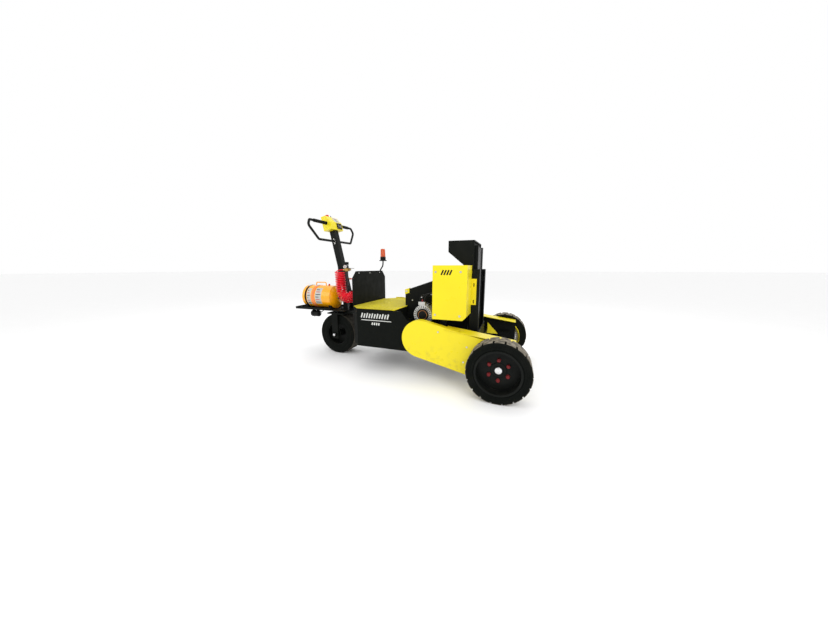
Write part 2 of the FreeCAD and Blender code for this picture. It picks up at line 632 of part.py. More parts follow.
def natural_bends(points):
    """At each corner the largest arc that its two runs leave room for."""
    bends = []
    for before, corner, after in zip(points, points[1:], points[2:]):
        one, two = corner - before, after - corner
        turn = math.acos(max(-1.0, min(1.0, one.dot(two) / (one.Length * two.Length))))
        bends.append(0.45 * min(one.Length, two.Length) / math.tan(turn / 2))
    print("bend radii", [round(bend) for bend in bends])
    return bends


def tiller_base():
    """Yoke on the tray with the tiller's pivot pin."""
    foot = box(PIVOT_X - 75, PIVOT_X + 50, -70, 70, TRAY_Z0 + 6, TRAY_Z0 + 18)
    cheeks = pair(box(PIVOT_X - 50, PIVOT_X + 50, TUBE_HALF + GAP, TUBE_HALF + 12, TRAY_Z0 + 6, PIVOT_Z + 38))
    pin = rod_y(PIVOT_X, -TUBE_HALF - 18, TUBE_HALF + 18, PIVOT_Z, 15)
    put("tiller_base", fuse([foot] + cheeks + [pin]))


# ---- Tiller, drawn upright over its pivot and then leaned back ----

def tiller():
    h = TUBE_HALF
    tube = box(PIVOT_X - h, PIVOT_X + h, -h, h, PIVOT_Z - 35, HEAD_Z0 + 20)
    tube = tube.cut(box(PIVOT_X - h + 4, PIVOT_X + h - 4, -h + 4, h - 4, PIVOT_Z + 35, HEAD_Z0 + 21))
    tube = tube.cut(rod_y(PIVOT_X, -50, 50, PIVOT_Z, 15 + RUN))
    put("tiller_tube", lean(tube))

    x = PIVOT_X
    outline = [(x - 58, HEAD_Z0), (x + 62, HEAD_Z0), (x + 62, HEAD_Z0 + 92), (x + 8, HEAD_Z1), (x - 58, HEAD_Z1)]
    inside = [(x - 54, HEAD_Z0 - 1), (x + 58, HEAD_Z0 - 1), (x + 58, HEAD_Z0 + 90), (x + 6, HEAD_Z1 - 24),
              (x - 54, HEAD_Z1 - 24)]
    head = prism_y(outline, -118, 118).cut(prism_y(inside, -114, 114))
    head = head.fuse(box(x - 55, x + 59, -115, 115, HEAD_Z0, HEAD_Z0 + 4))
    head = head.cut(box(x - h, x + h, -h, h, HEAD_Z0 - 2, HEAD_Z0 + 24))
    head = head.cut(rod_z(STOP_X, STOP_Y, HEAD_Z1 - 20, HEAD_Z1 + 1, 8.4))
    head = head.cut(rod_z(STOP_X, KEY_Y, HEAD_Z1 - 18, HEAD_Z1 + 1, 5 + RUN))
    put("tiller_head", lean(head))

    pad = box(x + 62, x + 70, 2, 98, HEAD_Z0 + 16, HEAD_Z0 + 86)
    for y in BUTTON_YS:
        pad = pad.cut(rod_x(x + 60, x + 72, y, BUTTON_Z, 12.4))
    put("keypad", lean(pad))
    for name, y in zip(("up_button", "down_button"), BUTTON_YS):
        put(name, lean(rod_x(x + 65.4, x + 73, y, BUTTON_Z, 12)))

    stop = rod_z(STOP_X, STOP_Y, HEAD_Z1 - 12, HEAD_Z1 + 12, 8).fuse(rod_z(STOP_X, STOP_Y, HEAD_Z1 + 12, HEAD_Z1 + 28, 21))
    put("stop_button", lean(stop.removeSplitter()))
    key = rod_z(STOP_X, KEY_Y, HEAD_Z1 - 17, HEAD_Z1 + 8, 5).fuse(
        box(STOP_X - 1.5, STOP_X + 1.5, KEY_Y - 11, KEY_Y + 11, HEAD_Z1 + 7, HEAD_Z1 + 32))
    put("key", lean(key.removeSplitter()))

    loop = [Vector(x, y, z) for y, z in ((118, GRIP_Z), (408, GRIP_Z), (444, GRIP_Z - 66), (320, BAR_Z), (h, BAR_Z))]
    bar = bent_tube(loop, [26, 40, 34], BAR_R)
    put("handle", *[lean(side) for side in pair(bar)])
    grip = rod_y(x, 152, 340, GRIP_Z, 18).cut(rod_y(x, 140, 350, GRIP_Z, BAR_R + RUN))
    left, right = pair(grip)
    put("left_grip", lean(left))
    put("right_grip", lean(right))


def write_parts():
    battery_box()
    battery_hatch()
    batteries()
    side_frames()
    cross_members()
    neck()
    chain_cases()
    guard_plates()
    chains()
    transaxle()
    drive_motor()
    hydraulic_unit()
    centre_cover()
    screws = control_box()
    mast_bracket()
    mast_columns()
    lift_mast()
    lift_table()
    lift_cylinder()
    back_panel()
    beacon()
    frame_bolts(screws)
    wheels()
    axle_bearings()
    fork()
    steer_wheel()
    tray()
    air_tank()
    tank_straps()
    air_manifold()
    air_hose()
    tiller_base()
    tiller()
    for name, shapes in nodes.items():
        shape = shapes[0] if len(shapes) == 1 else Part.makeCompound(shapes)
        solids = shape.Solids
        if not shape.isValid() or (len(shapes) == 1 and len(solids) != 1):
            print("check", name, shape.isValid(), len(solids))
        shape.exportStep("parts/" + name + ".step")
    whole = Part.makeCompound([shape for shapes in nodes.values() for shape in shapes])
    print(len(nodes), "nodes", whole.BoundBox)


write_parts()
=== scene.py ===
import bpy
import bmesh
import math
from mathutils import Matrix, Vector


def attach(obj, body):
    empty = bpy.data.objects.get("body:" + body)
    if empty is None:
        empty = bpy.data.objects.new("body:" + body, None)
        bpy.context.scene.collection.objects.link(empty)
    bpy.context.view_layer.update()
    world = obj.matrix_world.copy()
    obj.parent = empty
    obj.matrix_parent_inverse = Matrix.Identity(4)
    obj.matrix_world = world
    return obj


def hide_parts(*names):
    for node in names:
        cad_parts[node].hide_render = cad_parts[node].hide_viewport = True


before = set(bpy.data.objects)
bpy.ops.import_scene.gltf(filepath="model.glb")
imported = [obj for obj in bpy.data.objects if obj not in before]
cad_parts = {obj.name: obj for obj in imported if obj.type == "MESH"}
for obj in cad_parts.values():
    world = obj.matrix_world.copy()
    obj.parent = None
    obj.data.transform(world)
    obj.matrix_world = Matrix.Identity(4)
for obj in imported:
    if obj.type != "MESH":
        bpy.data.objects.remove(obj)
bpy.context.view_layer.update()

# Studio: a pale floor, a pale surround and soft lights. The camera stands off the right-hand front corner,
# a little above the axle, looking back along the machine.
scene = bpy.context.scene
camera = bpy.data.objects.new("camera", bpy.data.cameras.new("camera"))
camera.data.lens = 11.307
camera.data.sensor_width = 36.0
camera.data.clip_start = 0.05
camera.location = (1.2738, -2.8788, 1.1248)
camera.rotation_euler = Vector((-0.35042, 0.92224, -0.16336)).to_track_quat("-Z", "Y").to_euler()
scene.collection.objects.link(camera)
scene.camera = camera
scene.view_settings.view_transform = "Standard"

world = bpy.data.worlds.new("studio_air")
world.use_nodes = True
world.node_tree.nodes["Background"].inputs["Color"].default_value = (1.0, 1.0, 1.0, 1.0)
world.node_tree.nodes["Background"].inputs["Strength"].default_value = 1.0
scene.world = world


def soft_light(name, place, aim, size, watts):
    lamp = bpy.data.lights.new(name, "AREA")
    lamp.shape = "RECTANGLE"
    lamp.size, lamp.size_y = size
    lamp.energy = watts
    light = bpy.data.objects.new(name, lamp)
    light.location = place
    light.rotation_euler = (Vector(aim) - Vector(place)).to_track_quat("-Z", "Y").to_euler()
    scene.collection.objects.link(light)


soft_light("key_light", (3.2, -4.2, 3.6), (0.1, 0.0, 0.6), (2.6, 2.6), 85)
soft_light("fill_light", (-3.6, -3.4, 2.6), (-0.4, 0.0, 0.7), (2.4, 2.4), 30)
soft_light("top_light", (0.0, 0.6, 4.6), (0.0, 0.0, 0.5), (4.5, 3.0), 45)
soft_light("back_light", (-1.0, 4.6, 3.0), (0.0, 0.0, 0.8), (3.5, 2.0), 35)


# ---- Shared making of materials: each finish is one shader fed by a few textures in the piece's own metres. ----

class Finish:
    """One material. Textures take the piece's own coordinates, so they ride with it."""

    def __init__(self, name):
        self.material = bpy.data.materials.new(name)
        self.material.use_nodes = True
        self.nodes = self.material.node_tree.nodes
        self.shader = self.nodes["Principled BSDF"]
        self.place = self.add("ShaderNodeTexCoord").outputs["Object"]

    def add(self, kind, **settings):
        node = self.nodes.new(kind)
        for key, value in settings.items():
            setattr(node, key, value)
        return node

    def join(self, source, target):
        self.material.node_tree.links.new(source, target)

    def set(self, **values):
        for key, value in values.items():
            self.shader.inputs[key.replace("_", " ")].default_value = value
        return self

    def noise(self, scale, detail=4.0, stretch=None):
        """Fractal noise from 0 to 1, with scale in cells a metre."""
        node = self.add("ShaderNodeTexNoise")
        node.inputs["Scale"].default_value = scale
        node.inputs["Detail"].default_value = detail
        place = self.place
        if stretch:
            scaling = self.add("ShaderNodeVectorMath", operation="MULTIPLY")
            scaling.inputs[1].default_value = stretch
            self.join(place, scaling.inputs[0])
            place = scaling.outputs[0]
        self.join(place, node.inputs["Vector"])
        return node.outputs["Fac"]

    def ramp(self, value, low, high, bottom=0.0, top=1.0):
        node = self.add("ShaderNodeMapRange")
        for key, number in (("From Min", low), ("From Max", high), ("To Min", bottom), ("To Max", top)):
            node.inputs[key].default_value = number
        self.join(value, node.inputs["Value"])
        return node.outputs["Result"]

    def math(self, operation, one, two):
        node = self.add("ShaderNodeMath", operation=operation)
        for socket, value in zip(node.inputs, (one, two)):
            if isinstance(value, (int, float)):
                socket.default_value = value
            else:
                self.join(value, socket)
        return node.outputs[0]

    def mix(self, share, one, two):
        node = self.add("ShaderNodeMix", data_type="RGBA")
        self.join(share, node.inputs["Factor"])
        for socket, value in ((node.inputs[6], one), (node.inputs[7], two)):
            if isinstance(value, tuple):
                socket.default_value = (*value, 1.0)
            else:
                self.join(value, socket)
        return node.outputs[2]

    def colour(self, source):
        self.join(source, self.shader.inputs["Base Color"])

    def rough(self, source):
        self.join(source, self.shader.inputs["Roughness"])

    def bump(self, height, metres, soft_edge=0.0):
        """Relief of that depth; soft_edge rounds the look of sharp folded edges."""
        node = self.add("ShaderNodeBump")
        node.inputs["Distance"].default_value = metres
        node.inputs["Strength"].default_value = 1.0
        self.join(height, node.inputs["Height"])
        if soft_edge:
            edge = self.add("ShaderNodeBevel", samples=4)
            edge.inputs["Radius"].default_value = soft_edge
            self.join(edge.outputs[0], node.inputs["Normal"])
        self.join(node.outputs[0], self.shader.inputs["Normal"])

    def axis(self, letter):
        node = self.add("ShaderNodeSeparateXYZ")
        self.join(self.place, node.inputs[0])
        return node.outputs[letter]

    def upward(self):
        """How far the surface faces up, from -1 to 1, on the piece at rest."""
        node = self.add("ShaderNodeSeparateXYZ")
        self.join(self.add("ShaderNodeTexCoord").outputs["Normal"], node.inputs[0])
        return node.outputs["Z"]


def sheet_paint(name, colour, dirt=(0.10, 0.09, 0.07), gloss=0.32, dust=0.16, soft_edge=0.0025, shine=0.5):
    """Powder coat on folded sheet steel: faint orange peel, worn patches, dust on what faces up."""
    paint = Finish(name).set(Coat_Weight=shine * 0.4, Coat_Roughness=0.15, Specular_IOR_Level=shine)
    shade = paint.mix(paint.ramp(paint.noise(2.2, 5.0), 0.35, 0.7, 0.0, 0.22), colour,
                      tuple(c * 0.72 for c in colour))
    grime = paint.math("MULTIPLY", paint.ramp(paint.noise(9.0, 8.0), 0.48, 0.72),
                       paint.ramp(paint.upward(), -0.3, 1.0))
    paint.colour(paint.mix(paint.math("MULTIPLY", grime, dust * 2), shade, dirt))
    paint.rough(paint.ramp(paint.noise(14.0, 6.0), 0.3, 0.7, gloss - 0.07, gloss + 0.13))
    peel = paint.math("ADD", paint.noise(420.0, 2.0), paint.math("MULTIPLY", paint.noise(45.0, 3.0), 1.5))
    paint.bump(peel, 0.00025, soft_edge)
    return paint.material


def moulded(name, colour, gloss=0.45, grain=900.0, depth=0.0002, shine=0.3):
    """Moulded plastic or rubber with a fine grain."""
    plastic = Finish(name).set(Specular_IOR_Level=shine)
    plastic.colour(plastic.mix(plastic.ramp(plastic.noise(30.0, 5.0), 0.35, 0.7, 0.0, 0.35), colour,
                               tuple(c * 0.6 + 0.01 for c in colour)))
    plastic.rough(plastic.ramp(plastic.noise(60.0, 4.0), 0.3, 0.7, gloss - 0.08, gloss + 0.12))
    plastic.bump(plastic.noise(grain, 2.0), depth, 0.001)
    return plastic.material


def bare_metal(name, colour, gloss=0.3, grain=(1.0, 14.0, 1.0), stain=(0.12, 0.09, 0.06)):
    """Machined, cast or plated metal with a brushed grain and a few dull stains."""
    metal = Finish(name).set(Metallic=1.0)
    metal.colour(metal.mix(metal.ramp(metal.noise(18.0, 6.0), 0.52, 0.75, 0.0, 0.6), colour, stain))
    metal.rough(metal.ramp(metal.noise(160.0, 3.0, grain), 0.3, 0.7, gloss - 0.08, gloss + 0.15))
    metal.bump(metal.noise(260.0, 3.0, grain), 0.00015, 0.001)
    return metal.material


def show(node, material):
    """Gives a carried-over sub-part its finish."""
    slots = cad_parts[node].data.materials
    if not slots:
        slots.append(material)
    for index in range(len(slots)):
        slots[index] = material


def new_piece(name, form, material, body, smooth=True):
    """Turns a finished form into a piece that rides on one body of the machine."""
    mesh = bpy.data.meshes.new(name)
    form.to_mesh(mesh)
    form.free()
    if smooth:
        for face in mesh.polygons:
            face.use_smooth = True
    mesh.materials.append(material)
    piece = bpy.data.objects.new(name, mesh)
    scene.collection.objects.link(piece)
    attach(piece, body)
    return piece


# ---- Recoil air hose: nylon tube wound in close turns, hung as a U beside the tiller. Its ends are crimped into
# brass fittings, one on the valve block and one on the post below it.
hose_across = 0.014
coil_outside = 0.129
coil_turns = 23.75
coil_route = [(-0.730, -0.178, 1.070), (-0.712, -0.178, 0.754), (-0.536, -0.178, 0.754), (-0.536, -0.178, 0.834)]
coil_bends = (0.080, 0.071)
lead_top = [(-0.726, -0.084, 1.096), (-0.750, -0.087, 1.096), (-0.778, -0.096, 1.093), (-0.793, -0.118, 1.088),
            (-0.794, -0.145, 1.080), (-0.790, -0.162, 1.074)]
lead_low = [(-0.520, -0.118, 0.842), (-0.512, -0.114, 0.862), (-0.520, -0.108, 0.905), (-0.550, -0.100, 0.948),
            (-0.590, -0.087, 0.974), (-0.630, -0.080, 0.984), (-0.648, -0.080, 0.984), (-0.664, -0.080, 0.984)]


def spline_curve(name, points):
    """A smooth open curve whose control points are those points."""
    curve = bpy.data.curves.new(name, "CURVE")
    curve.dimensions = "3D"
    spline = curve.splines.new("NURBS")
    spline.points.add(len(points) - 1)
    for point, place in zip(spline.points, points):
        point.co = (*place, 1.0)
    spline.order_u = 3
    spline.use_endpoint_u = True
    spline.resolution_u = 8
    return curve


def route_points(points):
    """The smooth line through a route, as points in order."""
    guide = bpy.data.objects.new("guide", spline_curve("guide", points))
    scene.collection.objects.link(guide)
    line = bpy.data.meshes.new_from_object(guide)
    places = [vertex.co.copy() for vertex in line.vertices]
    bpy.data.objects.remove(guide)
    bpy.data.meshes.remove(line)
    return places


def arc_route(route, bends, arc_steps=24):
    """Straight runs joined by arcs, in a plane of constant Y, as points in order."""
    corners = [Vector(p) for p in route]
    places = [corners[0]]
    for before, corner, after, bend in zip(corners, corners[1:], corners[2:], bends):
        back, ahead = (before - corner).normalized(), (after - corner).normalized()
        half = back.angle(ahead) / 2
        centre = corner + (back + ahead).normalized() * bend / math.sin(half)
        first = corner + back * bend / math.tan(half) - centre
        last = corner + ahead * bend / math.tan(half) - centre
        swing = first.rotation_difference(last)
        for step in range(arc_steps + 1):
            places.append(centre + Matrix.Rotation(swing.angle * step / arc_steps, 3, swing.axis) @ first)
    places.append(corners[-1])
    return places


def coil_points(route, bends, radius, turns, per_turn=16, sag=0.03, sag_waves=41.0):
    """A helix round the route, which lies in a plane of constant Y. Its radius shrinks by up to sag in slow waves."""
    line = arc_route(route, bends)
    marks = [0.0]
    for one, two in zip(line, line[1:]):
        marks.append(marks[-1] + (two - one).length)
    places = []
    index = 0
    steps = round(turns * per_turn)
    for step in range(steps + 1):
        reach = marks[-1] * step / steps
        while index < len(line) - 2 and marks[index + 1] < reach:
            index += 1
        along = (line[index + 1] - line[index]).normalized()
        middle = line[index].lerp(line[index + 1], (reach - marks[index]) / (marks[index + 1] - marks[index]))
        across = Vector((0, 1, 0))
        side = along.cross(across)
        turn = -math.pi / 2 - 2 * math.pi * step / per_turn
        slack = radius * (1 - sag * (0.5 + 0.5 * math.sin(reach * sag_waves)))
        places.append(middle + (across * math.cos(turn) + side * math.sin(turn)) * slack)
    return places


nylon = Finish("red_nylon").set(Coat_Weight=0.06, Specular_IOR_Level=0.25)
nylon.colour(nylon.mix(nylon.ramp(nylon.noise(25.0, 5.0), 0.4, 0.7, 0.0, 0.5), (0.74, 0.004, 0.018),
                       (0.50, 0.003, 0.012)))
nylon.rough(nylon.ramp(nylon.noise(80.0), 0.3, 0.7, 0.22, 0.42))
nylon.bump(nylon.noise(700.0, 2.0), 0.0001)
coil = coil_points(coil_route, coil_bends, (coil_outside - hose_across) / 2, coil_turns)
hose_points = [Vector(p) for p in lead_top] + coil + [Vector(p) for p in lead_low]
hose_curve = spline_curve("air_hose", hose_points)
hose_curve.bevel_depth = hose_across / 2
hose_curve.bevel_resolution = 4
hose_curve.splines[0].resolution_u = 3
hose_curve.use_fill_caps = True
hose_curve.materials.append(nylon.material)
air_hose = bpy.data.objects.new("air_hose", hose_curve)
scene.collection.objects.link(air_hose)
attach(air_hose, "steering")
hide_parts("coil_hose", "hose_leads")
hose_line = route_points(hose_points)


def crisp(piece, degrees):
    """Keeps edges sharper than that angle crisp on a smooth piece."""
    piece.data.set_sharp_from_angle(angle=math.radians(degrees))
    return piece


def skin(form, rows, ring=False):
    """Faces between neighbouring rows of vertices. The last row meets the first in a ring, or both ends are capped."""
    for one, two in zip(rows, rows[1:] + rows[:1] if ring else rows[1:]):
        for i in range(len(one)):
            after = (i + 1) % len(one)
            form.faces.new((one[i], one[after], two[after], two[i]))
    if not ring:
        form.faces.new(rows[0])
        form.faces.new(rows[-1])
    bmesh.ops.recalc_face_normals(form, faces=form.faces)


def lathe(name, profile, material, body, centre, axis="Y", steps=96, smooth=True, ring=False, sharp=35):
    """A turned piece: profile is (radius, distance along the axis) in order. A ring is hollow: its profile closes.
    Edges sharper than that many degrees stay crisp."""
    form = bmesh.new()
    rows = []
    for radius, reach in profile:
        row = []
        for step in range(steps):
            turn = 2 * math.pi * step / steps
            one, two = radius * math.cos(turn), radius * math.sin(turn)
            spot = {"X": (reach, one, two), "Y": (one, reach, two), "Z": (one, two, reach)}[axis]
            row.append(form.verts.new(Vector(spot) + Vector(centre)))
        rows.append(row)
    skin(form, rows, ring)
    piece = new_piece(name, form, material, body, smooth)
    return crisp(piece, sharp) if sharp else piece


def handed(profile, hand):
    """The same profile, facing along the axis for hand 1 and against it for hand -1."""
    return [(radius, reach * hand) for radius, reach in profile]


# Brass ferrules crimped over both ends of the hose, seated in the fittings.
brass = bare_metal("turned_brass", (0.62, 0.42, 0.13), 0.28, stain=(0.20, 0.11, 0.03))
valve_ferrule = [(0.0075, -0.016), (0.0098, -0.015), (0.0098, -0.008), (0.0085, -0.007), (0.0085, -0.004),
                 (0.0098, -0.003), (0.0098, 0.002), (0.0075, 0.003)]
post_ferrule = [(0.0075, 0.0), (0.0098, 0.001), (0.0098, 0.006), (0.0085, 0.007), (0.0085, 0.009), (0.0098, 0.010),
                (0.0098, 0.019), (0.0075, 0.020)]
lathe("ferrule_valve_end", valve_ferrule, brass, "steering", lead_top[0], "X", 24)
lathe("ferrule_post_end", post_ferrule, brass, "steering", lead_low[-1], "X", 24)


# ---- Drive wheels: press-on industrial tyres, black rubber with pale dust worked into the tread, on painted
# steel rims with a deep disc. Six red nuts clamp each disc to its hub, and a bright cap closes the shaft.
tyre_r = 0.2667
axle = Vector((1.2, 0.0, tyre_r))
tyre_face = 0.765         # outer sidewall, from the middle of the machine
disc_face = 0.671
nut_circle_r = 0.09


def radius_from(finish, centre):
    """Distance from an axle that runs along Y."""
    offset = finish.add("ShaderNodeVectorMath", operation="SUBTRACT")
    offset.inputs[1].default_value = centre
    finish.join(finish.place, offset.inputs[0])
    flat = finish.add("ShaderNodeVectorMath", operation="MULTIPLY")
    flat.inputs[1].default_value = (1.0, 0.0, 1.0)
    finish.join(offset.outputs[0], flat.inputs[0])
    length = finish.add("ShaderNodeVectorMath", operation="LENGTH")
    finish.join(flat.outputs[0], length.inputs[0])
    return length.outputs["Value"]


def tyre_rubber(name, centre, tread_r, dusty=0.85):
    rubber = Finish(name).set(Specular_IOR_Level=0.05)
    reach = radius_from(rubber, centre)
    on_tread = rubber.ramp(reach, tread_r - 0.006, tread_r - 0.001)
    patchy = rubber.ramp(rubber.noise(26.0, 8.0), 0.32, 0.62, 0.15, dusty)
    wall = rubber.mix(rubber.ramp(rubber.noise(7.0, 6.0), 0.55, 0.85, 0.0, 0.10), (0.0045, 0.0055, 0.0045),
                      (0.05, 0.046, 0.038))
    rubber.colour(rubber.mix(rubber.math("MULTIPLY", on_tread, patchy), wall, (0.30, 0.265, 0.21)))
    rubber.rough(rubber.ramp(rubber.noise(40.0), 0.3, 0.7, 0.55, 0.85))
    rubber.bump(rubber.math("ADD", rubber.noise(500.0, 2.0), rubber.noise(90.0, 5.0)), 0.0005, 0.003)
    return rubber.material


drive_rubber = tyre_rubber("drive_tyre_rubber", axle, tyre_r)
wheel_paint = sheet_paint("wheel_black", (0.006, 0.007, 0.006), gloss=0.38, dust=0.06, shine=0.08)
red_zinc = sheet_paint("red_nut_paint", (0.20, 0.005, 0.008), gloss=0.4, dust=0.1, shine=0.3, soft_edge=0.001)
bright_plate = bare_metal("bright_plate", (0.72, 0.72, 0.74), 0.16, stain=(0.35, 0.30, 0.25))


def hex_nut(name, centre, axis, across, height, stud, material, body):
    """A chamfered hexagon nut with the end of its stud standing in it."""
    form = bmesh.new()
    corner = across / math.sqrt(3)
    chamfered = across / 2 * 0.93
    nut = ((corner, 0.0), (corner, 0.86), (chamfered, 1.0), (stud, 1.0), (stud, 0.7))
    stud_end = ((stud * 0.98, 0.7), (stud * 0.86, 1.12), (stud * 0.5, 1.16))
    corners = [(math.cos(math.radians(60 * i)), math.sin(math.radians(60 * i))) for i in range(6)]
    rows = []
    for radius, share in nut + stud_end:
        rows.append([form.verts.new((radius * x, radius * y, height * share)) for x, y in corners])
    skin(form, rows)
    form.transform(Matrix.Translation(centre) @ Vector(axis).to_track_quat("Z", "Y").to_matrix().to_4x4())
    return new_piece(name, form, material, body, smooth=False)


washer = [(0.010, 0.0), (0.0165, 0.0), (0.0165, 0.002), (0.0155, 0.0028), (0.010, 0.0028)]
for side, hand in (("left", 1), ("right", -1)):
    body = side + "_wheel"
    show(side + "_tyre", drive_rubber)
    show(side + "_rim", wheel_paint)
    show(side + "_hub", wheel_paint)
    show(side + "_wheel_sprocket", bright_plate)
    show(side + "_drive_sprocket", bright_plate)
    beads = [(0.188, -0.004), (0.199, -0.002), (0.203, 0.003), (0.207, 0.0035), (0.210, 0.0008), (0.222, 0.0008),
             (0.2235, 0.003), (0.226, 0.003), (0.2275, 0.0008), (0.236, 0.0008), (0.2375, 0.0025), (0.240, 0.0025),
             (0.2415, 0.0), (0.246, -0.004), (0.240, -0.005), (0.190, -0.005)]
    lathe(side + "_sidewall_ribs", handed(beads, hand), drive_rubber, body, (axle.x, tyre_face * hand, axle.z),
          steps=128, ring=True)
    disc_y = disc_face * hand
    for index in range(6):
        turn = math.radians(90 - 60 * index)
        spot = (axle.x + nut_circle_r * math.cos(turn), disc_y, axle.z + nut_circle_r * math.sin(turn))
        hex_nut(f"{side}_wheel_nut_{index + 1}", spot, (0, hand, 0), 0.0295, 0.0215, 0.0085, red_zinc, body)
        lathe(f"{side}_nut_washer_{index + 1}", handed(washer, hand), red_zinc, body, spot, steps=32, ring=True)
    cap = [(0.0315, 0.003), (0.0315, 0.017), (0.029, 0.0205), (0.022, 0.0225), (0.010, 0.0235), (0.002, 0.0238)]
    lathe(side + "_axle_cap", handed(cap, hand), bright_plate, body, (axle.x, disc_y, axle.z))
    boss = [(0.0545, 0.0), (0.0645, 0.0), (0.066, 0.003), (0.064, 0.006), (0.0575, 0.008), (0.0500, 0.0085),
            (0.0440, 0.0065), (0.0420, 0.0032), (0.0540, 0.0031)]
    lathe(side + "_hub_boss", handed(boss, hand), wheel_paint, body, (axle.x, disc_y, axle.z), ring=True)


# ---- Steered wheel: a smooth solid tyre on a cast rim, carried on a plain axle between the fork's two legs.
# Bright caps close the axle's ends, and a black seal ring stands round it on each side of the hub.
steer_r = 0.262
steer_axle = Vector((-0.860, 0.0, steer_r))
steer_rubber = tyre_rubber("steer_tyre_rubber", steer_axle, steer_r, dusty=0.3)
fork_black = sheet_paint("fork_black", (0.0045, 0.0055, 0.0045), gloss=0.62, dust=0.04, shine=0.06)
show("steer_tyre", steer_rubber)
show("steer_rim", wheel_paint)
show("fork", fork_black)
for hand in (1, -1):
    beads = [(0.168, 0.0), (0.172, 0.0022), (0.178, 0.0022), (0.182, 0.0), (0.216, 0.0), (0.219, 0.002),
             (0.223, 0.002), (0.226, 0.0), (0.222, -0.002), (0.172, -0.002)]
    lathe(f"steer_sidewall_ribs_{hand}", handed(beads, hand), steer_rubber, "steer_wheel",
          (steer_axle.x, 0.1202 * hand, steer_axle.z), steps=128, ring=True)
    stub = [(0.0001, 0.0), (0.0160, 0.0), (0.0160, 0.004), (0.013, 0.0065), (0.006, 0.0075), (0.0001, 0.0075)]
    lathe(f"steer_axle_cap_{hand}", handed(stub, hand), bright_plate, "steering",
          (steer_axle.x, 0.1801 * hand, steer_axle.z), steps=40)
    seal_ring = [(0.044, 0.0), (0.050, 0.0), (0.052, 0.004), (0.050, 0.006), (0.044, 0.006)]
    lathe(f"steer_hub_seal_{hand}", handed(seal_ring, hand), wheel_paint, "steer_wheel",
          (steer_axle.x, 0.104 * hand, steer_axle.z), steps=48, ring=True)


# ---- Battery box and chassis: folded and welded sheet, sprayed black outside, with yellow on the deck edges.
# The box has a plain pale stripe motif on its near side.

def satin_black(finish):
    """Gives a finish the gloss and grain of sprayed black steel, and returns its scuffed colour."""
    finish.set(Specular_IOR_Level=0.06)
    finish.rough(finish.ramp(finish.noise(18.0, 6.0), 0.3, 0.7, 0.6, 0.8))
    finish.bump(finish.noise(380.0, 3.0), 0.0003, 0.003)
    scuffed = finish.ramp(finish.noise(6.0, 9.0, (1.0, 1.0, 3.0)), 0.62, 0.76, 0.0, 0.12)
    return finish.mix(scuffed, (0.0048, 0.0058, 0.0048), (0.045, 0.043, 0.038))


box_black = Finish("box_black")
box_black.colour(satin_black(box_black))
edge_yellow = sheet_paint("edge_yellow", (0.80, 0.68, 0.012), dirt=(0.16, 0.13, 0.05), gloss=0.3, dust=0.1, shine=0.3)
for node in ("side_frames", "neck", "axle_bearings"):
    show(node, box_black.material)

# The box is black, and its fixed strips beside the deck are yellow.
deck_z = 0.690
shell = Finish("box_black_yellow_top")
on_top = shell.ramp(shell.axis("Z"), deck_z - 0.0005, deck_z - 0.0001)
worn_yellow = shell.mix(shell.ramp(shell.noise(40.0, 6.0), 0.5, 0.7, 0.0, 0.5), (0.72, 0.60, 0.012),
                        (0.30, 0.25, 0.05))
shell.colour(shell.mix(on_top, satin_black(shell), worn_yellow))
show("battery_box", shell.material)

# Anti-slip deck: coarse grit rolled into the yellow paint, dirty where people stand.
deck = Finish("gritty_deck").set(Specular_IOR_Level=0.25)
grit = deck.noise(620.0, 2.0)
trodden = deck.ramp(deck.noise(5.0, 7.0), 0.38, 0.68)
base = deck.mix(trodden, (0.62, 0.53, 0.010), (0.50, 0.42, 0.016))
deck.colour(deck.mix(deck.ramp(grit, 0.52, 0.70, 0.0, 0.55), base, (0.22, 0.18, 0.02)))
deck.rough(deck.ramp(grit, 0.3, 0.7, 0.6, 0.9))
deck.bump(deck.ramp(grit, 0.40, 0.72), 0.0012)
show("battery_hatch", deck.material)

battery_case = moulded("battery_case", (0.012, 0.013, 0.016), gloss=0.5)
show("batteries", battery_case)
chain_steel = bare_metal("oiled_chain", (0.20, 0.18, 0.15), 0.38, stain=(0.03, 0.025, 0.02))
show("chains", chain_steel)
zinc = bare_metal("zinc_plated", (0.62, 0.62, 0.60), 0.28, stain=(0.30, 0.27, 0.20))
show("frame_bolts", zinc)


def slab(name, corner, far, material, body, bevel=0.002, slant=None):
    """A box between two corners, with rounded edges; slant turns it about its middle."""
    corner, far = Vector(corner), Vector(far)
    form = bmesh.new()
    bmesh.ops.create_cube(form, size=1.0)
    bmesh.ops.scale(form, vec=far - corner, verts=form.verts)
    if bevel:
        bmesh.ops.bevel(form, geom=form.edges[:], offset=bevel, segments=3, affect="EDGES", profile=0.5)
    if slant:
        form.transform(Matrix.Rotation(math.radians(slant[1]), 4, slant[0]))
    bmesh.ops.translate(form, vec=(corner + far) / 2, verts=form.verts)
    return crisp(new_piece(name, form, material, body), 50)


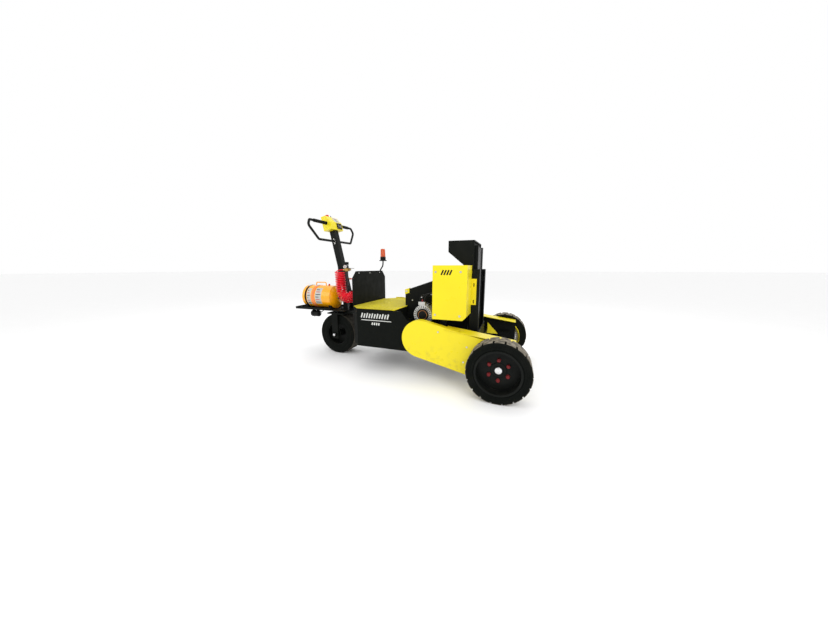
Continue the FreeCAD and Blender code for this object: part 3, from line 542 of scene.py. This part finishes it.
# The pale motif: eleven slanting bars, a line below them and four short bars under it, like cut vinyl.
vinyl = moulded("pale_vinyl", (0.62, 0.63, 0.60), gloss=0.35, shine=0.35)
mark_front, mark_back = -0.5058, -0.5049
mark_x = -0.235
mark_slant = ("Y", 18)
mark_edge = 0.0003
for index in range(11):
    x = mark_x + 0.031 * index
    slab(f"side_mark_bar_{index + 1}", (x, mark_front, 0.592), (x + 0.015, mark_back, 0.646 - 0.006 * (index % 2)),
         vinyl, "chassis", mark_edge, mark_slant)
slab("side_mark_line", (mark_x, mark_front, 0.566), (0.120, mark_back, 0.574), vinyl, "chassis", mark_edge)
for index in range(4):
    x = -0.110 + 0.026 * index
    slab(f"side_mark_dot_{index + 1}", (x, mark_front, 0.520), (x + 0.015, mark_back, 0.548), vinyl, "chassis",
         mark_edge, mark_slant)


# ---- Chain cases and guard plates: bright yellow sheet over the chains, with a dirty band low down where the tyres
# throw grit.
case_yellow = Finish("case_yellow").set(Specular_IOR_Level=0.3, Coat_Weight=0.08)
low = case_yellow.ramp(case_yellow.axis("Z"), 0.16, 0.40, 0.55, 0.06)
splash = case_yellow.math("MULTIPLY", case_yellow.ramp(case_yellow.noise(22.0, 9.0), 0.50, 0.72), low)
case_yellow.colour(case_yellow.mix(splash, (0.79, 0.655, 0.010), (0.34, 0.27, 0.05)))
case_yellow.rough(case_yellow.ramp(case_yellow.noise(15.0, 6.0), 0.3, 0.7, 0.26, 0.45))
case_yellow.bump(case_yellow.noise(350.0, 2.0), 0.0002, 0.004)
for node in ("chain_cases", "guard_plates"):
    show(node, case_yellow.material)


# ---- Drive motor and hydraulic unit: a finned alloy end ring with slots all round, a black fan cowl with a copper
# band, a bright terminal block with booted cables, and a pump reservoir with a white breather cap.
motor_alloy = bare_metal("cast_alloy", (0.55, 0.55, 0.53), 0.42, stain=(0.20, 0.18, 0.15))
copper = bare_metal("copper", (0.62, 0.26, 0.10), 0.3, stain=(0.20, 0.08, 0.03))
soot_black = moulded("moulded_black", (0.0045, 0.005, 0.0045), gloss=0.42, shine=0.12)
show("drive_motor", motor_alloy)
show("transaxle", box_black.material)
motor = Vector((0.430, -0.405, 0.647))
lathe("motor_end_ring", [(0.062, 0.004), (0.0985, 0.004), (0.0985, -0.004), (0.095, -0.008), (0.066, -0.008),
                         (0.062, -0.005)], motor_alloy, "chassis", motor, ring=True)
lathe("motor_fan_cowl", [(0.0618, 0.002), (0.0618, -0.0085), (0.058, -0.011), (0.050, -0.0115), (0.048, -0.0105),
                         (0.0475, 0.002)], soot_black, "chassis", motor, ring=True)
lathe("motor_copper_band", [(0.0472, 0.0), (0.0472, -0.0112), (0.0440, -0.0118), (0.0440, 0.0)], copper, "chassis",
      motor, ring=True)
lathe("motor_hub_cap", [(0.0438, -0.0095), (0.0438, -0.0115), (0.030, -0.0145), (0.012, -0.0155), (0.001, -0.0156)],
      soot_black, "chassis", motor)
slot_count = 26
slot_circle_r = 0.0805
slot_half = Vector((0.0125, 0.0009, 0.0032))
for index in range(slot_count):
    turn = math.radians(360 / slot_count * index)
    middle = motor + Vector((slot_circle_r * math.cos(turn), -0.0078, slot_circle_r * math.sin(turn)))
    slab(f"motor_slot_{index + 1}", middle - slot_half, middle + slot_half, soot_black, "chassis", 0.0006,
         ("Y", -math.degrees(turn)))
slab("motor_terminal_block", (0.378, -0.400, 0.742), (0.452, -0.352, 0.778), motor_alloy, "chassis", 0.003)


def cable(name, points, across, material, body):
    """An insulated lead clipped at both ends, along a smooth curve through the points."""
    curve = spline_curve(name, points)
    curve.bevel_depth = across / 2
    curve.bevel_resolution = 3
    curve.use_fill_caps = True
    curve.materials.append(material)
    lead = bpy.data.objects.new(name, curve)
    scene.collection.objects.link(lead)
    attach(lead, body)
    line = route_points(points)


lead_black = moulded("lead_black", (0.006, 0.006, 0.006), gloss=0.38, shine=0.2)
for index in range(3):
    x, y = 0.390 + 0.024 * index, -0.374
    boot = red_zinc if index == 1 else soot_black
    lathe(f"terminal_boot_{index + 1}", [(0.0085, 0.0), (0.0085, 0.014), (0.006, 0.022), (0.004, 0.024)], boot,
          "chassis", (x, y, 0.7775), "Z", 24)
    over_motor = [(x, y, 0.799), (x, y + 0.002, 0.822), (x + 0.012, -0.35, 0.842),
                  (x + 0.03, -0.30, 0.846 + 0.006 * index), (x + 0.06, -0.27, 0.852), (x + 0.11, -0.262, 0.868),
                  (0.571, -0.300 - 0.02 * index, 0.885)]
    cable(f"motor_lead_{index + 1}", over_motor, 0.009, lead_black, "chassis")
show("hydraulic_unit", box_black.material)
white_plastic = moulded("white_plastic", (0.62, 0.62, 0.60), gloss=0.4, shine=0.4)
lathe("breather_cap", [(0.0225, 0.0), (0.0235, 0.002), (0.0235, 0.013), (0.0205, 0.018), (0.010, 0.020),
                       (0.001, 0.0203)], white_plastic, "chassis", (0.490, -0.255, 0.838), "Z", 48)


# ---- Centre cover, latch and electrical enclosure: black folded cover with a yellow over-centre latch. The enclosure
# has a separate lid with a rubber seal line, four screws and four slanting black bars.
soft_black = (0.0055, 0.0065, 0.0055)
cover_black = sheet_paint("cover_black", soft_black, gloss=0.6, dust=0.05, shine=0.07)
show("centre_cover", cover_black)
show("cover_latch", edge_yellow)
cover_slope = ("Y", -21)
slab("latch_screw_plate", (0.138, -0.1578, 0.852), (0.160, -0.1558, 0.868), zinc, "chassis", 0.0008, cover_slope)
enclosure_yellow = sheet_paint("enclosure_yellow", (0.80, 0.66, 0.010), dirt=(0.45, 0.38, 0.03), gloss=0.3, dust=0.04,
                               shine=0.25)
show("control_box", enclosure_yellow)
show("control_lid", enclosure_yellow)
show("mast_bracket", enclosure_yellow)
show("controller", motor_alloy)
seal = moulded("rubber_seal", (0.01, 0.01, 0.01), gloss=0.6, shine=0.1)
seal_front, seal_back, seal_top = -0.5462, -0.5442, 1.1437
slab("lid_seal_top", (0.576, seal_front, 1.1395), (0.888, seal_back, seal_top), seal, "chassis", 0.0004)
slab("lid_seal_front", (0.8880, seal_front, 0.680), (0.8919, seal_back, seal_top), seal, "chassis", 0.0004)
lid_face = -0.5490
for index, (x, z) in enumerate(((0.600, 0.683), (0.600, 1.084), (0.832, 0.683), (0.832, 1.084))):
    lathe(f"lid_screw_cup_{index + 1}", [(0.0068, 0.0), (0.0105, 0.0), (0.0100, -0.0014), (0.0068, -0.0020)], zinc,
          "chassis", (x, lid_face, z), steps=32, ring=True)
ink = moulded("black_vinyl", (0.006, 0.006, 0.006), gloss=0.4, shine=0.15)
for index in range(4):
    x = 0.657 + 0.026 * index
    slab(f"enclosure_mark_{index + 1}", (x, lid_face - 0.0007, 1.054), (x + 0.014, lid_face + 0.0001, 1.104), ink,
         "chassis", 0.0002, ("Y", 24))
lathe("enclosure_gland", [(0.001, 0.0), (0.015, 0.0), (0.015, -0.012), (0.012, -0.020), (0.009, -0.021),
                          (0.001, -0.021)], soot_black, "chassis", (0.640, -0.420, 0.641), "Z", 32)


# ---- Lift: fixed columns, the inner mast with its cylinder, and the folded table. All black, worn paler in upright
# streaks, with weld beads along the seams of the table and at the foot of the mast.
mast_black = Finish("mast_black").set(Specular_IOR_Level=0.10)
mast_black.colour(mast_black.mix(mast_black.ramp(mast_black.noise(11.0, 8.0, (1.0, 1.0, 0.25)), 0.60, 0.74, 0.0, 0.4),
                                 soft_black, (0.05, 0.048, 0.045)))
mast_black.rough(mast_black.ramp(mast_black.noise(30.0, 5.0, (1.0, 1.0, 0.2)), 0.3, 0.7, 0.25, 0.5))
mast_black.bump(mast_black.noise(300.0, 3.0), 0.0002, 0.003)
for node in ("mast_columns", "lift_mast", "lift_cylinder", "cross_members"):
    show(node, mast_black.material)
rest_black = sheet_paint("rest_black", soft_black, gloss=0.6, dust=0.05, shine=0.07)
show("lift_table", rest_black)
show("lift_rod", bright_plate)
weld = bare_metal("weld_bead", (0.05, 0.05, 0.05), 0.5)


def bead_line(name, start, end, size, body):
    """A weld bead: overlapping ripples along a straight seam."""
    start, end = Vector(start), Vector(end)
    count = max(3, int((end - start).length / (size * 0.8)))
    form = bmesh.new()
    aim = (end - start).to_track_quat("Z", "Y").to_matrix().to_4x4()
    for index in range(count):
        blob = bmesh.ops.create_uvsphere(form, u_segments=10, v_segments=6, radius=size)["verts"]
        swing = Matrix.Translation(start.lerp(end, (index + 0.5) / count)) @ aim @ Matrix.Diagonal((1, 1, 0.75, 1))
        bmesh.ops.transform(form, matrix=swing, verts=blob)
    return new_piece(name, form, weld, body)


for hand in (1, -1):
    side = "far" if hand > 0 else "near"
    bead_line(f"rest_weld_{side}_top", (0.66, 0.2625 * hand, 1.3735), (0.90, 0.2625 * hand, 1.3735), 0.0035, "lift")
    bead_line(f"rest_weld_{side}_back", (0.8775, 0.2615 * hand, 1.125), (0.8775, 0.2615 * hand, 1.370), 0.0035,
              "lift")
    bead_line(f"mast_weld_{side}", (0.890, 0.2155 * hand, 0.3615), (0.960, 0.2155 * hand, 0.3615), 0.0040, "chassis")


# ---- Back panel and beacon: a black steel panel behind the operator, and a warning beacon
# with a fluted orange lens on a bent stalk.
panel_black = sheet_paint("panel_black", soft_black, gloss=0.6, dust=0.03, shine=0.06)
show("back_panel", panel_black)
show("beacon_stalk", soot_black)
lens_orange = Finish("orange_lens").set(Roughness=0.16, IOR=1.49, Transmission_Weight=0.25, Coat_Weight=0.2)
flutes = lens_orange.add("ShaderNodeTexWave", wave_type="BANDS", bands_direction="X")
flutes.inputs["Scale"].default_value = 60.0
lens_orange.join(lens_orange.place, flutes.inputs["Vector"])
lens_orange.colour(lens_orange.mix(flutes.outputs["Fac"], (0.62, 0.045, 0.004), (0.80, 0.15, 0.012)))
lens_orange.bump(flutes.outputs["Fac"], 0.0006)
show("beacon_lens", lens_orange.material)
beacon = (-0.430, 0.398, 1.2605)
lathe("beacon_collar", [(0.0355, 0.0), (0.0372, 0.0), (0.0372, 0.006), (0.0358, 0.010), (0.0345, 0.010)], soot_black,
      "chassis", beacon, "Z", 64, ring=True)
lathe("beacon_dish_rim", [(0.050, -0.0465), (0.0515, -0.0465), (0.0525, -0.041), (0.0515, -0.0375), (0.050, -0.0380)],
      soot_black, "chassis", beacon, "Z", 64, ring=True)


# ---- Tray and air tank: a folded tray over the steered wheel and a portable tank strapped into its saddles. The tank
# has rolled seams, blank labels, strap buckles, a filler cap and a brass nipple with a short hose to the post. A
# drain filter hangs below the tray.
tray_black = sheet_paint("tray_black", (0.005, 0.006, 0.005), gloss=0.5, dust=0.12, shine=0.07)
show("tray", tray_black)
tank_paint = sheet_paint("tank_yellow", (0.95, 0.40, 0.002), dirt=(0.40, 0.16, 0.02), gloss=0.22, dust=0.12,
                         shine=0.5)
show("air_tank", tank_paint)
webbing = Finish("strap_webbing").set(Specular_IOR_Level=0.15)
weave = webbing.add("ShaderNodeTexWave", wave_type="BANDS", bands_direction="X")
weave.inputs["Scale"].default_value = 160.0
webbing.join(webbing.place, weave.inputs["Vector"])
salmon = webbing.mix(weave.outputs["Fac"], (0.88, 0.20, 0.055), (0.98, 0.33, 0.12))
on_web = webbing.math("MULTIPLY", webbing.ramp(webbing.axis("X"), -1.226, -1.2255),
                      webbing.ramp(webbing.axis("X"), -1.170, -1.1695, 1.0, 0.0))
webbing.colour(webbing.mix(on_web, (0.006, 0.006, 0.006), salmon))
webbing.rough(webbing.ramp(webbing.noise(90.0), 0.3, 0.7, 0.55, 0.8))
webbing.bump(weave.outputs["Fac"], 0.0004)
show("tank_straps", webbing.material)
tank_z = 0.736
tank_r = 0.150


def tank_patch(name, x0, x1, low, high, out, material, thick=0.0006, steps=24):
    """A thin patch wrapped round the tank that far out from its skin, between two angles in degrees from the near
    side upwards."""
    form = bmesh.new()
    inner = tank_r + out
    outer = inner + thick
    rows = []
    for step in range(steps + 1):
        turn = math.radians(low + (high - low) * step / steps)
        section = ((x0, inner), (x1, inner), (x1, outer), (x0, outer))
        rows.append([form.verts.new((x, -math.cos(turn) * r, tank_z + math.sin(turn) * r)) for x, r in section])
    skin(form, rows)
    return crisp(new_piece(name, form, material, "steering"), 40)


label_grey = moulded("label_grey", (0.50, 0.50, 0.47), gloss=0.3, shine=0.3)
label_red = moulded("label_red", (0.55, 0.012, 0.010), gloss=0.3, shine=0.3)
for number, (x0, x1, low, high) in enumerate(((-1.300, -1.236, -40, 48), (-1.165, -1.066, -34, 52))):
    tank_patch(f"tank_label_{number + 1}", x0, x1, low, high, 0.0001, label_grey)
    for row in range(6):
        start = low + 8 + row * 13
        first_x, last_x = x0 + 0.010, x1 - 0.010 - 0.014 * (row % 3)
        shade = label_red if row in (1, 4) else ink
        tank_patch(f"tank_label_{number + 1}_bar_{row + 1}", first_x, last_x, start, start + 3.5, 0.0007, shade,
                   0.0003)
for index, x in enumerate((-1.370, -0.936)):
    lathe(f"tank_seam_{index + 1}", [(0.1490, -0.006), (0.1505, -0.005), (0.1515, 0.0), (0.1505, 0.005),
                                     (0.1490, 0.006)], tank_paint, "steering", (x, 0.0, tank_z), "X", 96, ring=True)
for index, (x0, x1, low) in enumerate(((-1.336, -1.308, 62), (-1.224, -1.176, 66))):
    tank_patch(f"strap_buckle_{index + 1}", x0, x1, low, low + 16, 0.0033, zinc, 0.004)
tank_patch("strap_tail", -1.216, -1.184, 20, 66, 0.0034, webbing.material, 0.0018)
lathe("tank_filler_cap", [(0.001, 0.0), (0.013, 0.0), (0.013, 0.010), (0.0105, 0.013), (0.0105, 0.020),
                          (0.008, 0.023), (0.001, 0.0232)], label_red, "steering", (-1.030, -0.012, 0.8845), "Z", 32)
lathe("tank_nipple", [(0.0095, -0.006), (0.0095, 0.004), (0.0135, 0.005), (0.0135, 0.012), (0.0085, 0.013),
                      (0.0085, 0.024), (0.006, 0.0245)], brass, "steering", (-0.874, 0.0, tank_z), "X", 24)
cable("tank_hose", [(-0.851, 0.0, tank_z), (-0.842, -0.018, 0.738), (-0.846, -0.066, 0.742), (-0.838, -0.106, 0.738),
                    (-0.800, -0.116, 0.728), (-0.750, -0.108, 0.722), (-0.716, -0.094, 0.720),
                    (-0.700, -0.084, 0.720)], 0.012, lead_black, "steering")
post_x, post_y = -0.690, -0.080
lathe("post_hose_tail", [(0.0125, -0.014), (0.0155, -0.013), (0.0155, 0.013), (0.0125, 0.014)], brass, "steering",
      (post_x, post_y, 0.720), "Z", 24, ring=True)
filter_bowl = [(0.001, 0.0), (0.038, 0.0), (0.0415, 0.004), (0.0415, 0.030), (0.045, 0.031), (0.045, 0.038),
               (0.0415, 0.039), (0.0415, 0.110), (0.032, 0.121), (0.001, 0.123)]
filter_y = -0.095
filter_z = 0.512
lathe("drain_filter", filter_bowl, soot_black, "steering", (-1.265, filter_y, filter_z), "X", 48)
for index, x in enumerate((-1.245, -1.180)):
    slab(f"drain_filter_bracket_{index + 1}", (x, -0.118, 0.548), (x + 0.016, -0.072, 0.5758), tray_black, "steering",
         0.001)
cable("tray_hose", [(-1.142, filter_y, filter_z), (-1.125, -0.100, 0.513), (-1.110, -0.125, 0.525),
                    (-1.080, -0.160, 0.545), (-1.055, -0.172, 0.553), (-1.035, -0.172, 0.560),
                    (-1.022, -0.168, 0.568), (-1.018, -0.165, 0.5755)], 0.011, lead_black, "steering")


# ---- Air post: a galvanised post with a brass valve block, a black regulator with a ribbed knob, a dial gauge on the
# near side and a quarter-turn lever.
post = Finish("air_post_metals")
height = post.axis("Z")
in_brass = post.math("MULTIPLY", post.ramp(height, 1.0760, 1.0765), post.ramp(height, 1.1155, 1.1160, 1.0, 0.0))
galvanised = post.mix(post.ramp(post.noise(50.0, 5.0), 0.35, 0.65), (0.035, 0.036, 0.036), (0.085, 0.085, 0.083))
post.colour(post.mix(in_brass, galvanised, (0.42, 0.29, 0.085)))
post.join(post.math("MAXIMUM", in_brass, 0.6), post.shader.inputs["Metallic"])
post.rough(post.ramp(post.noise(120.0), 0.3, 0.7, 0.32, 0.55))
post.bump(post.noise(260.0, 3.0), 0.0002, 0.001)
show("air_manifold", post.material)
show("regulator_knob", soot_black)
show("valve_lever", chain_steel)
lathe("regulator_bonnet", [(0.0192, 0.0), (0.0215, 0.002), (0.0215, 0.024), (0.0192, 0.030), (0.0192, 0.036)],
      soot_black, "steering", (post_x, post_y, 1.1155), "Z", 48)
gauge_z = 1.134
lathe("gauge_bezel", [(0.0185, -0.0005), (0.0225, 0.002), (0.0225, -0.004), (0.0205, -0.0055), (0.0185, -0.004)],
      bright_plate, "steering", (post_x, -0.1225, gauge_z), "Y", 48, ring=True)
lathe("gauge_dial", [(0.0186, 0.0), (0.0186, -0.0018), (0.001, -0.0019)], label_grey, "steering",
      (post_x, -0.1235, gauge_z), "Y", 48)
slab("gauge_needle", (-0.6908, -0.1258, 1.126), (-0.6894, -0.1252, 1.148), label_red, "steering", 0.0002, ("Y", 38))
knob_ribs = 20
knob_r = 0.0212
rib_half = Vector((0.0013, 0.0012, 0.014))
for index in range(knob_ribs):
    turn = math.radians(360 / knob_ribs * index)
    spot = Vector((post_x + knob_r * math.cos(turn), post_y + knob_r * math.sin(turn), 1.173))
    slab(f"knob_rib_{index + 1}", spot - rib_half, spot + rib_half, soot_black, "pressure_knob", 0.0005,
         ("Z", math.degrees(turn)))
lathe("valve_lever_nut", [(0.0042, 0.0), (0.0078, 0.0), (0.0078, 0.004), (0.0042, 0.005)], zinc, "air_valve",
      (-0.650, post_y, 1.1161), "Z", 6, smooth=False, ring=True)


# ---- Tiller: square column on a pinned yoke, with the control cable clipped down its rear face. Everything here is
# placed upright over the pivot and then tipped back to the rest angle.
column_x = -0.745
pivot_z = 0.790
lean = -12.8
tiller_pivot = Vector((column_x, 0.0, pivot_z))
lean_over = Matrix.Rotation(math.radians(lean), 4, "Y")
tip_back = Matrix.Translation(tiller_pivot) @ lean_over @ Matrix.Translation(-tiller_pivot)


def tipped(piece):
    """Leans an upright piece back with the tiller."""
    piece.data.transform(tip_back)
    return piece


show("tiller_base", fork_black)
column_black = sheet_paint("column_black", (0.0050, 0.0060, 0.0050), gloss=0.5, dust=0.05, shine=0.08)
show("tiller_tube", column_black)
show("handle", soot_black)
handle_z = 1.692
for hand in (1, -1):
    pin = [(0.001, 0.0), (0.0185, 0.0), (0.0185, 0.004), (0.015, 0.0065), (0.001, 0.007)]
    lathe(f"pivot_pin_head_{hand}", handed(pin, hand), zinc, "steering", (column_x, 0.056 * hand, pivot_z), steps=40)
    collar = [(0.0142, 0.0), (0.0215, 0.0), (0.0215, 0.004), (0.0185, 0.009), (0.0142, 0.009)]
    tipped(lathe(f"handle_collar_{hand}", handed(collar, hand), soot_black, "tiller",
                 (column_x, 0.1182 * hand, handle_z), steps=40, ring=True))
cable_line = [(-0.789, -0.018, 1.604), (-0.7885, -0.018, 1.520), (-0.7885, -0.018, 1.300), (-0.7885, -0.018, 1.170),
              (-0.800, -0.020, 1.100), (-0.817, -0.022, 1.030), (-0.812, -0.020, 0.960), (-0.792, -0.018, 0.910),
              (-0.784, -0.018, 0.890)]
cable("tiller_cable", [tip_back @ Vector(p) for p in cable_line], 0.010, lead_black, "tiller")
for index, z in enumerate((1.545, 1.400, 1.230)):
    tipped(slab(f"cable_clip_{index + 1}", (-0.7955, -0.0275, z), (-0.7830, -0.0085, z + 0.014), zinc, "tiller",
                0.001))
for index, z in enumerate((1.500, 1.440)):
    tipped(lathe(f"column_screw_{index + 1}", [(0.0072, 0.001), (0.0072, -0.002), (0.005, -0.0038), (0.001, -0.004)],
                 zinc, "tiller", (column_x, -0.0388, z), steps=24))
tipped(slab("column_plate", (-0.760, -0.0392, 1.452), (-0.730, -0.0379, 1.488), label_grey, "tiller", 0.0004))


# ---- Control head: bent yellow cover with a label of plain bars on the slope, a black key panel with plain arrows, an
# emergency stop with its collar, a key switch and two ribbed grips.
show("tiller_head", enclosure_yellow)
show("keypad", soot_black)
show("up_button", soot_black)
show("down_button", soot_black)
stop_red = moulded("stop_red", (0.62, 0.008, 0.010), gloss=0.25, shine=0.5)
show("stop_button", stop_red)
show("key", bright_plate)
grip_rubber = moulded("grip_rubber", (0.0045, 0.005, 0.0045), gloss=0.6, shine=0.12)
show("left_grip", grip_rubber)
show("right_grip", grip_rubber)
head_slope = ("Y", -32.4)
tipped(slab("head_label", (-0.7101, -0.010, 1.698), (-0.7087, 0.098, 1.782), label_grey, "tiller", 0.0004,
            head_slope))
slope = math.radians(head_slope[1])
for row in range(4):
    reach = 0.026 - 0.017 * row
    middle = Vector((-0.7082 + reach * math.sin(slope), 0.044, 1.7404 + reach * math.cos(slope)))
    corner = middle - Vector((0.0002, 0.040 - 0.006 * row, 0.0022))
    far = middle + Vector((0.0002, 0.040, 0.0022))
    shade = label_red if row == 0 else ink
    tipped(slab(f"head_label_bar_{row + 1}", corner, far, shade, "tiller", 0.0001, head_slope))
panel_x = -0.675
button_z = 1.656
for name, y, up in (("up_switch", 0.030, 1), ("down_switch", 0.070, -1)):
    mark = lathe(name + "_arrow", [(0.0070, 0.0), (0.0070, 0.0004), (0.001, 0.0005)], white_plastic, name,
                 (0.0, 0.0, 0.0), "X", 3, smooth=False, sharp=None)
    point_up = Matrix.Rotation(math.radians(90 * up), 4, "X")
    mark.data.transform(tip_back @ Matrix.Translation((panel_x + 0.003, y, button_z)) @ point_up)
    tipped(lathe(name + "_bezel", [(0.0126, -0.001), (0.0148, -0.001), (0.0148, 0.0012), (0.0126, 0.0018)],
                 bright_plate, "tiller", (panel_x, y, button_z), "X", 40, ring=True))
for index, (y, z) in enumerate(((0.007, 1.626), (0.093, 1.626), (0.007, 1.686), (0.093, 1.686))):
    tipped(lathe(f"keypad_screw_{index + 1}", [(0.0034, -0.001), (0.0034, 0.0012), (0.001, 0.0018)], zinc, "tiller",
                 (panel_x, y, z), "X", 16))
head_x = -0.770
head_top = 1.7822
stop_y, key_y = -0.032, 0.036
tipped(lathe("stop_collar", [(0.0120, 0.0), (0.0235, 0.0), (0.0235, 0.002), (0.021, 0.0042), (0.0120, 0.0042)],
             soot_black, "tiller", (head_x, stop_y, head_top), "Z", 48, ring=True))
tipped(lathe("stop_dome", [(0.0140, 0.0), (0.0205, 0.0), (0.0216, 0.003), (0.0216, 0.011), (0.0195, 0.0165),
                           (0.0120, 0.0192), (0.001, 0.020)], stop_red, "stop_switch",
             (head_x, stop_y, head_top + 0.011), "Z", 48))
tipped(lathe("key_collar", [(0.0056, 0.0), (0.0125, 0.0), (0.0125, 0.0025), (0.0105, 0.0040), (0.0056, 0.0040)],
             bright_plate, "tiller", (head_x, key_y, head_top), "Z", 40, ring=True))
tipped(lathe("key_bow", [(0.0012, -0.0028), (0.0100, -0.0028), (0.0115, 0.0), (0.0100, 0.0028), (0.0012, 0.0028)],
             soot_black, "key_switch", (head_x, key_y, head_top + 0.0223), "X", 32))
grip_rings = 22
for side, hand in (("left", 1), ("right", -1)):
    ribs = [(0.0178, 0.154), (0.0215, 0.154), (0.0215, 0.159), (0.0186, 0.161)]
    for index in range(grip_rings):
        start = 0.163 + 0.0078 * index
        ribs += [(0.0186, start), (0.0196, start + 0.0016), (0.0196, start + 0.0050), (0.0186, start + 0.0064)]
    ribs += [(0.0186, 0.336), (0.0160, 0.3405), (0.0150, 0.3405), (0.0150, 0.336), (0.0178, 0.335)]
    tipped(lathe(side + "_grip_ribs", handed(ribs, hand), grip_rubber, side + "_twist_grip",
                 (column_x, 0.0, handle_z), steps=36, ring=True, sharp=60))


# ---- Surroundings: one pale floor under the wheels.
floor_mesh = bpy.data.meshes.new("floor")
half = 80
floor_mesh.from_pydata([(-half, -half, 0), (half, -half, 0), (half, half, 0), (-half, half, 0)], [], [(0, 1, 2, 3)])
floor = bpy.data.objects.new("floor", floor_mesh)
scene.collection.objects.link(floor)
pale = Finish("pale_floor").set(Roughness=0.9, Specular_IOR_Level=0.1)
pale.colour(pale.mix(pale.noise(3.0), (0.93, 0.93, 0.93), (0.96, 0.96, 0.96)))
floor_mesh.materials.append(pale.material)
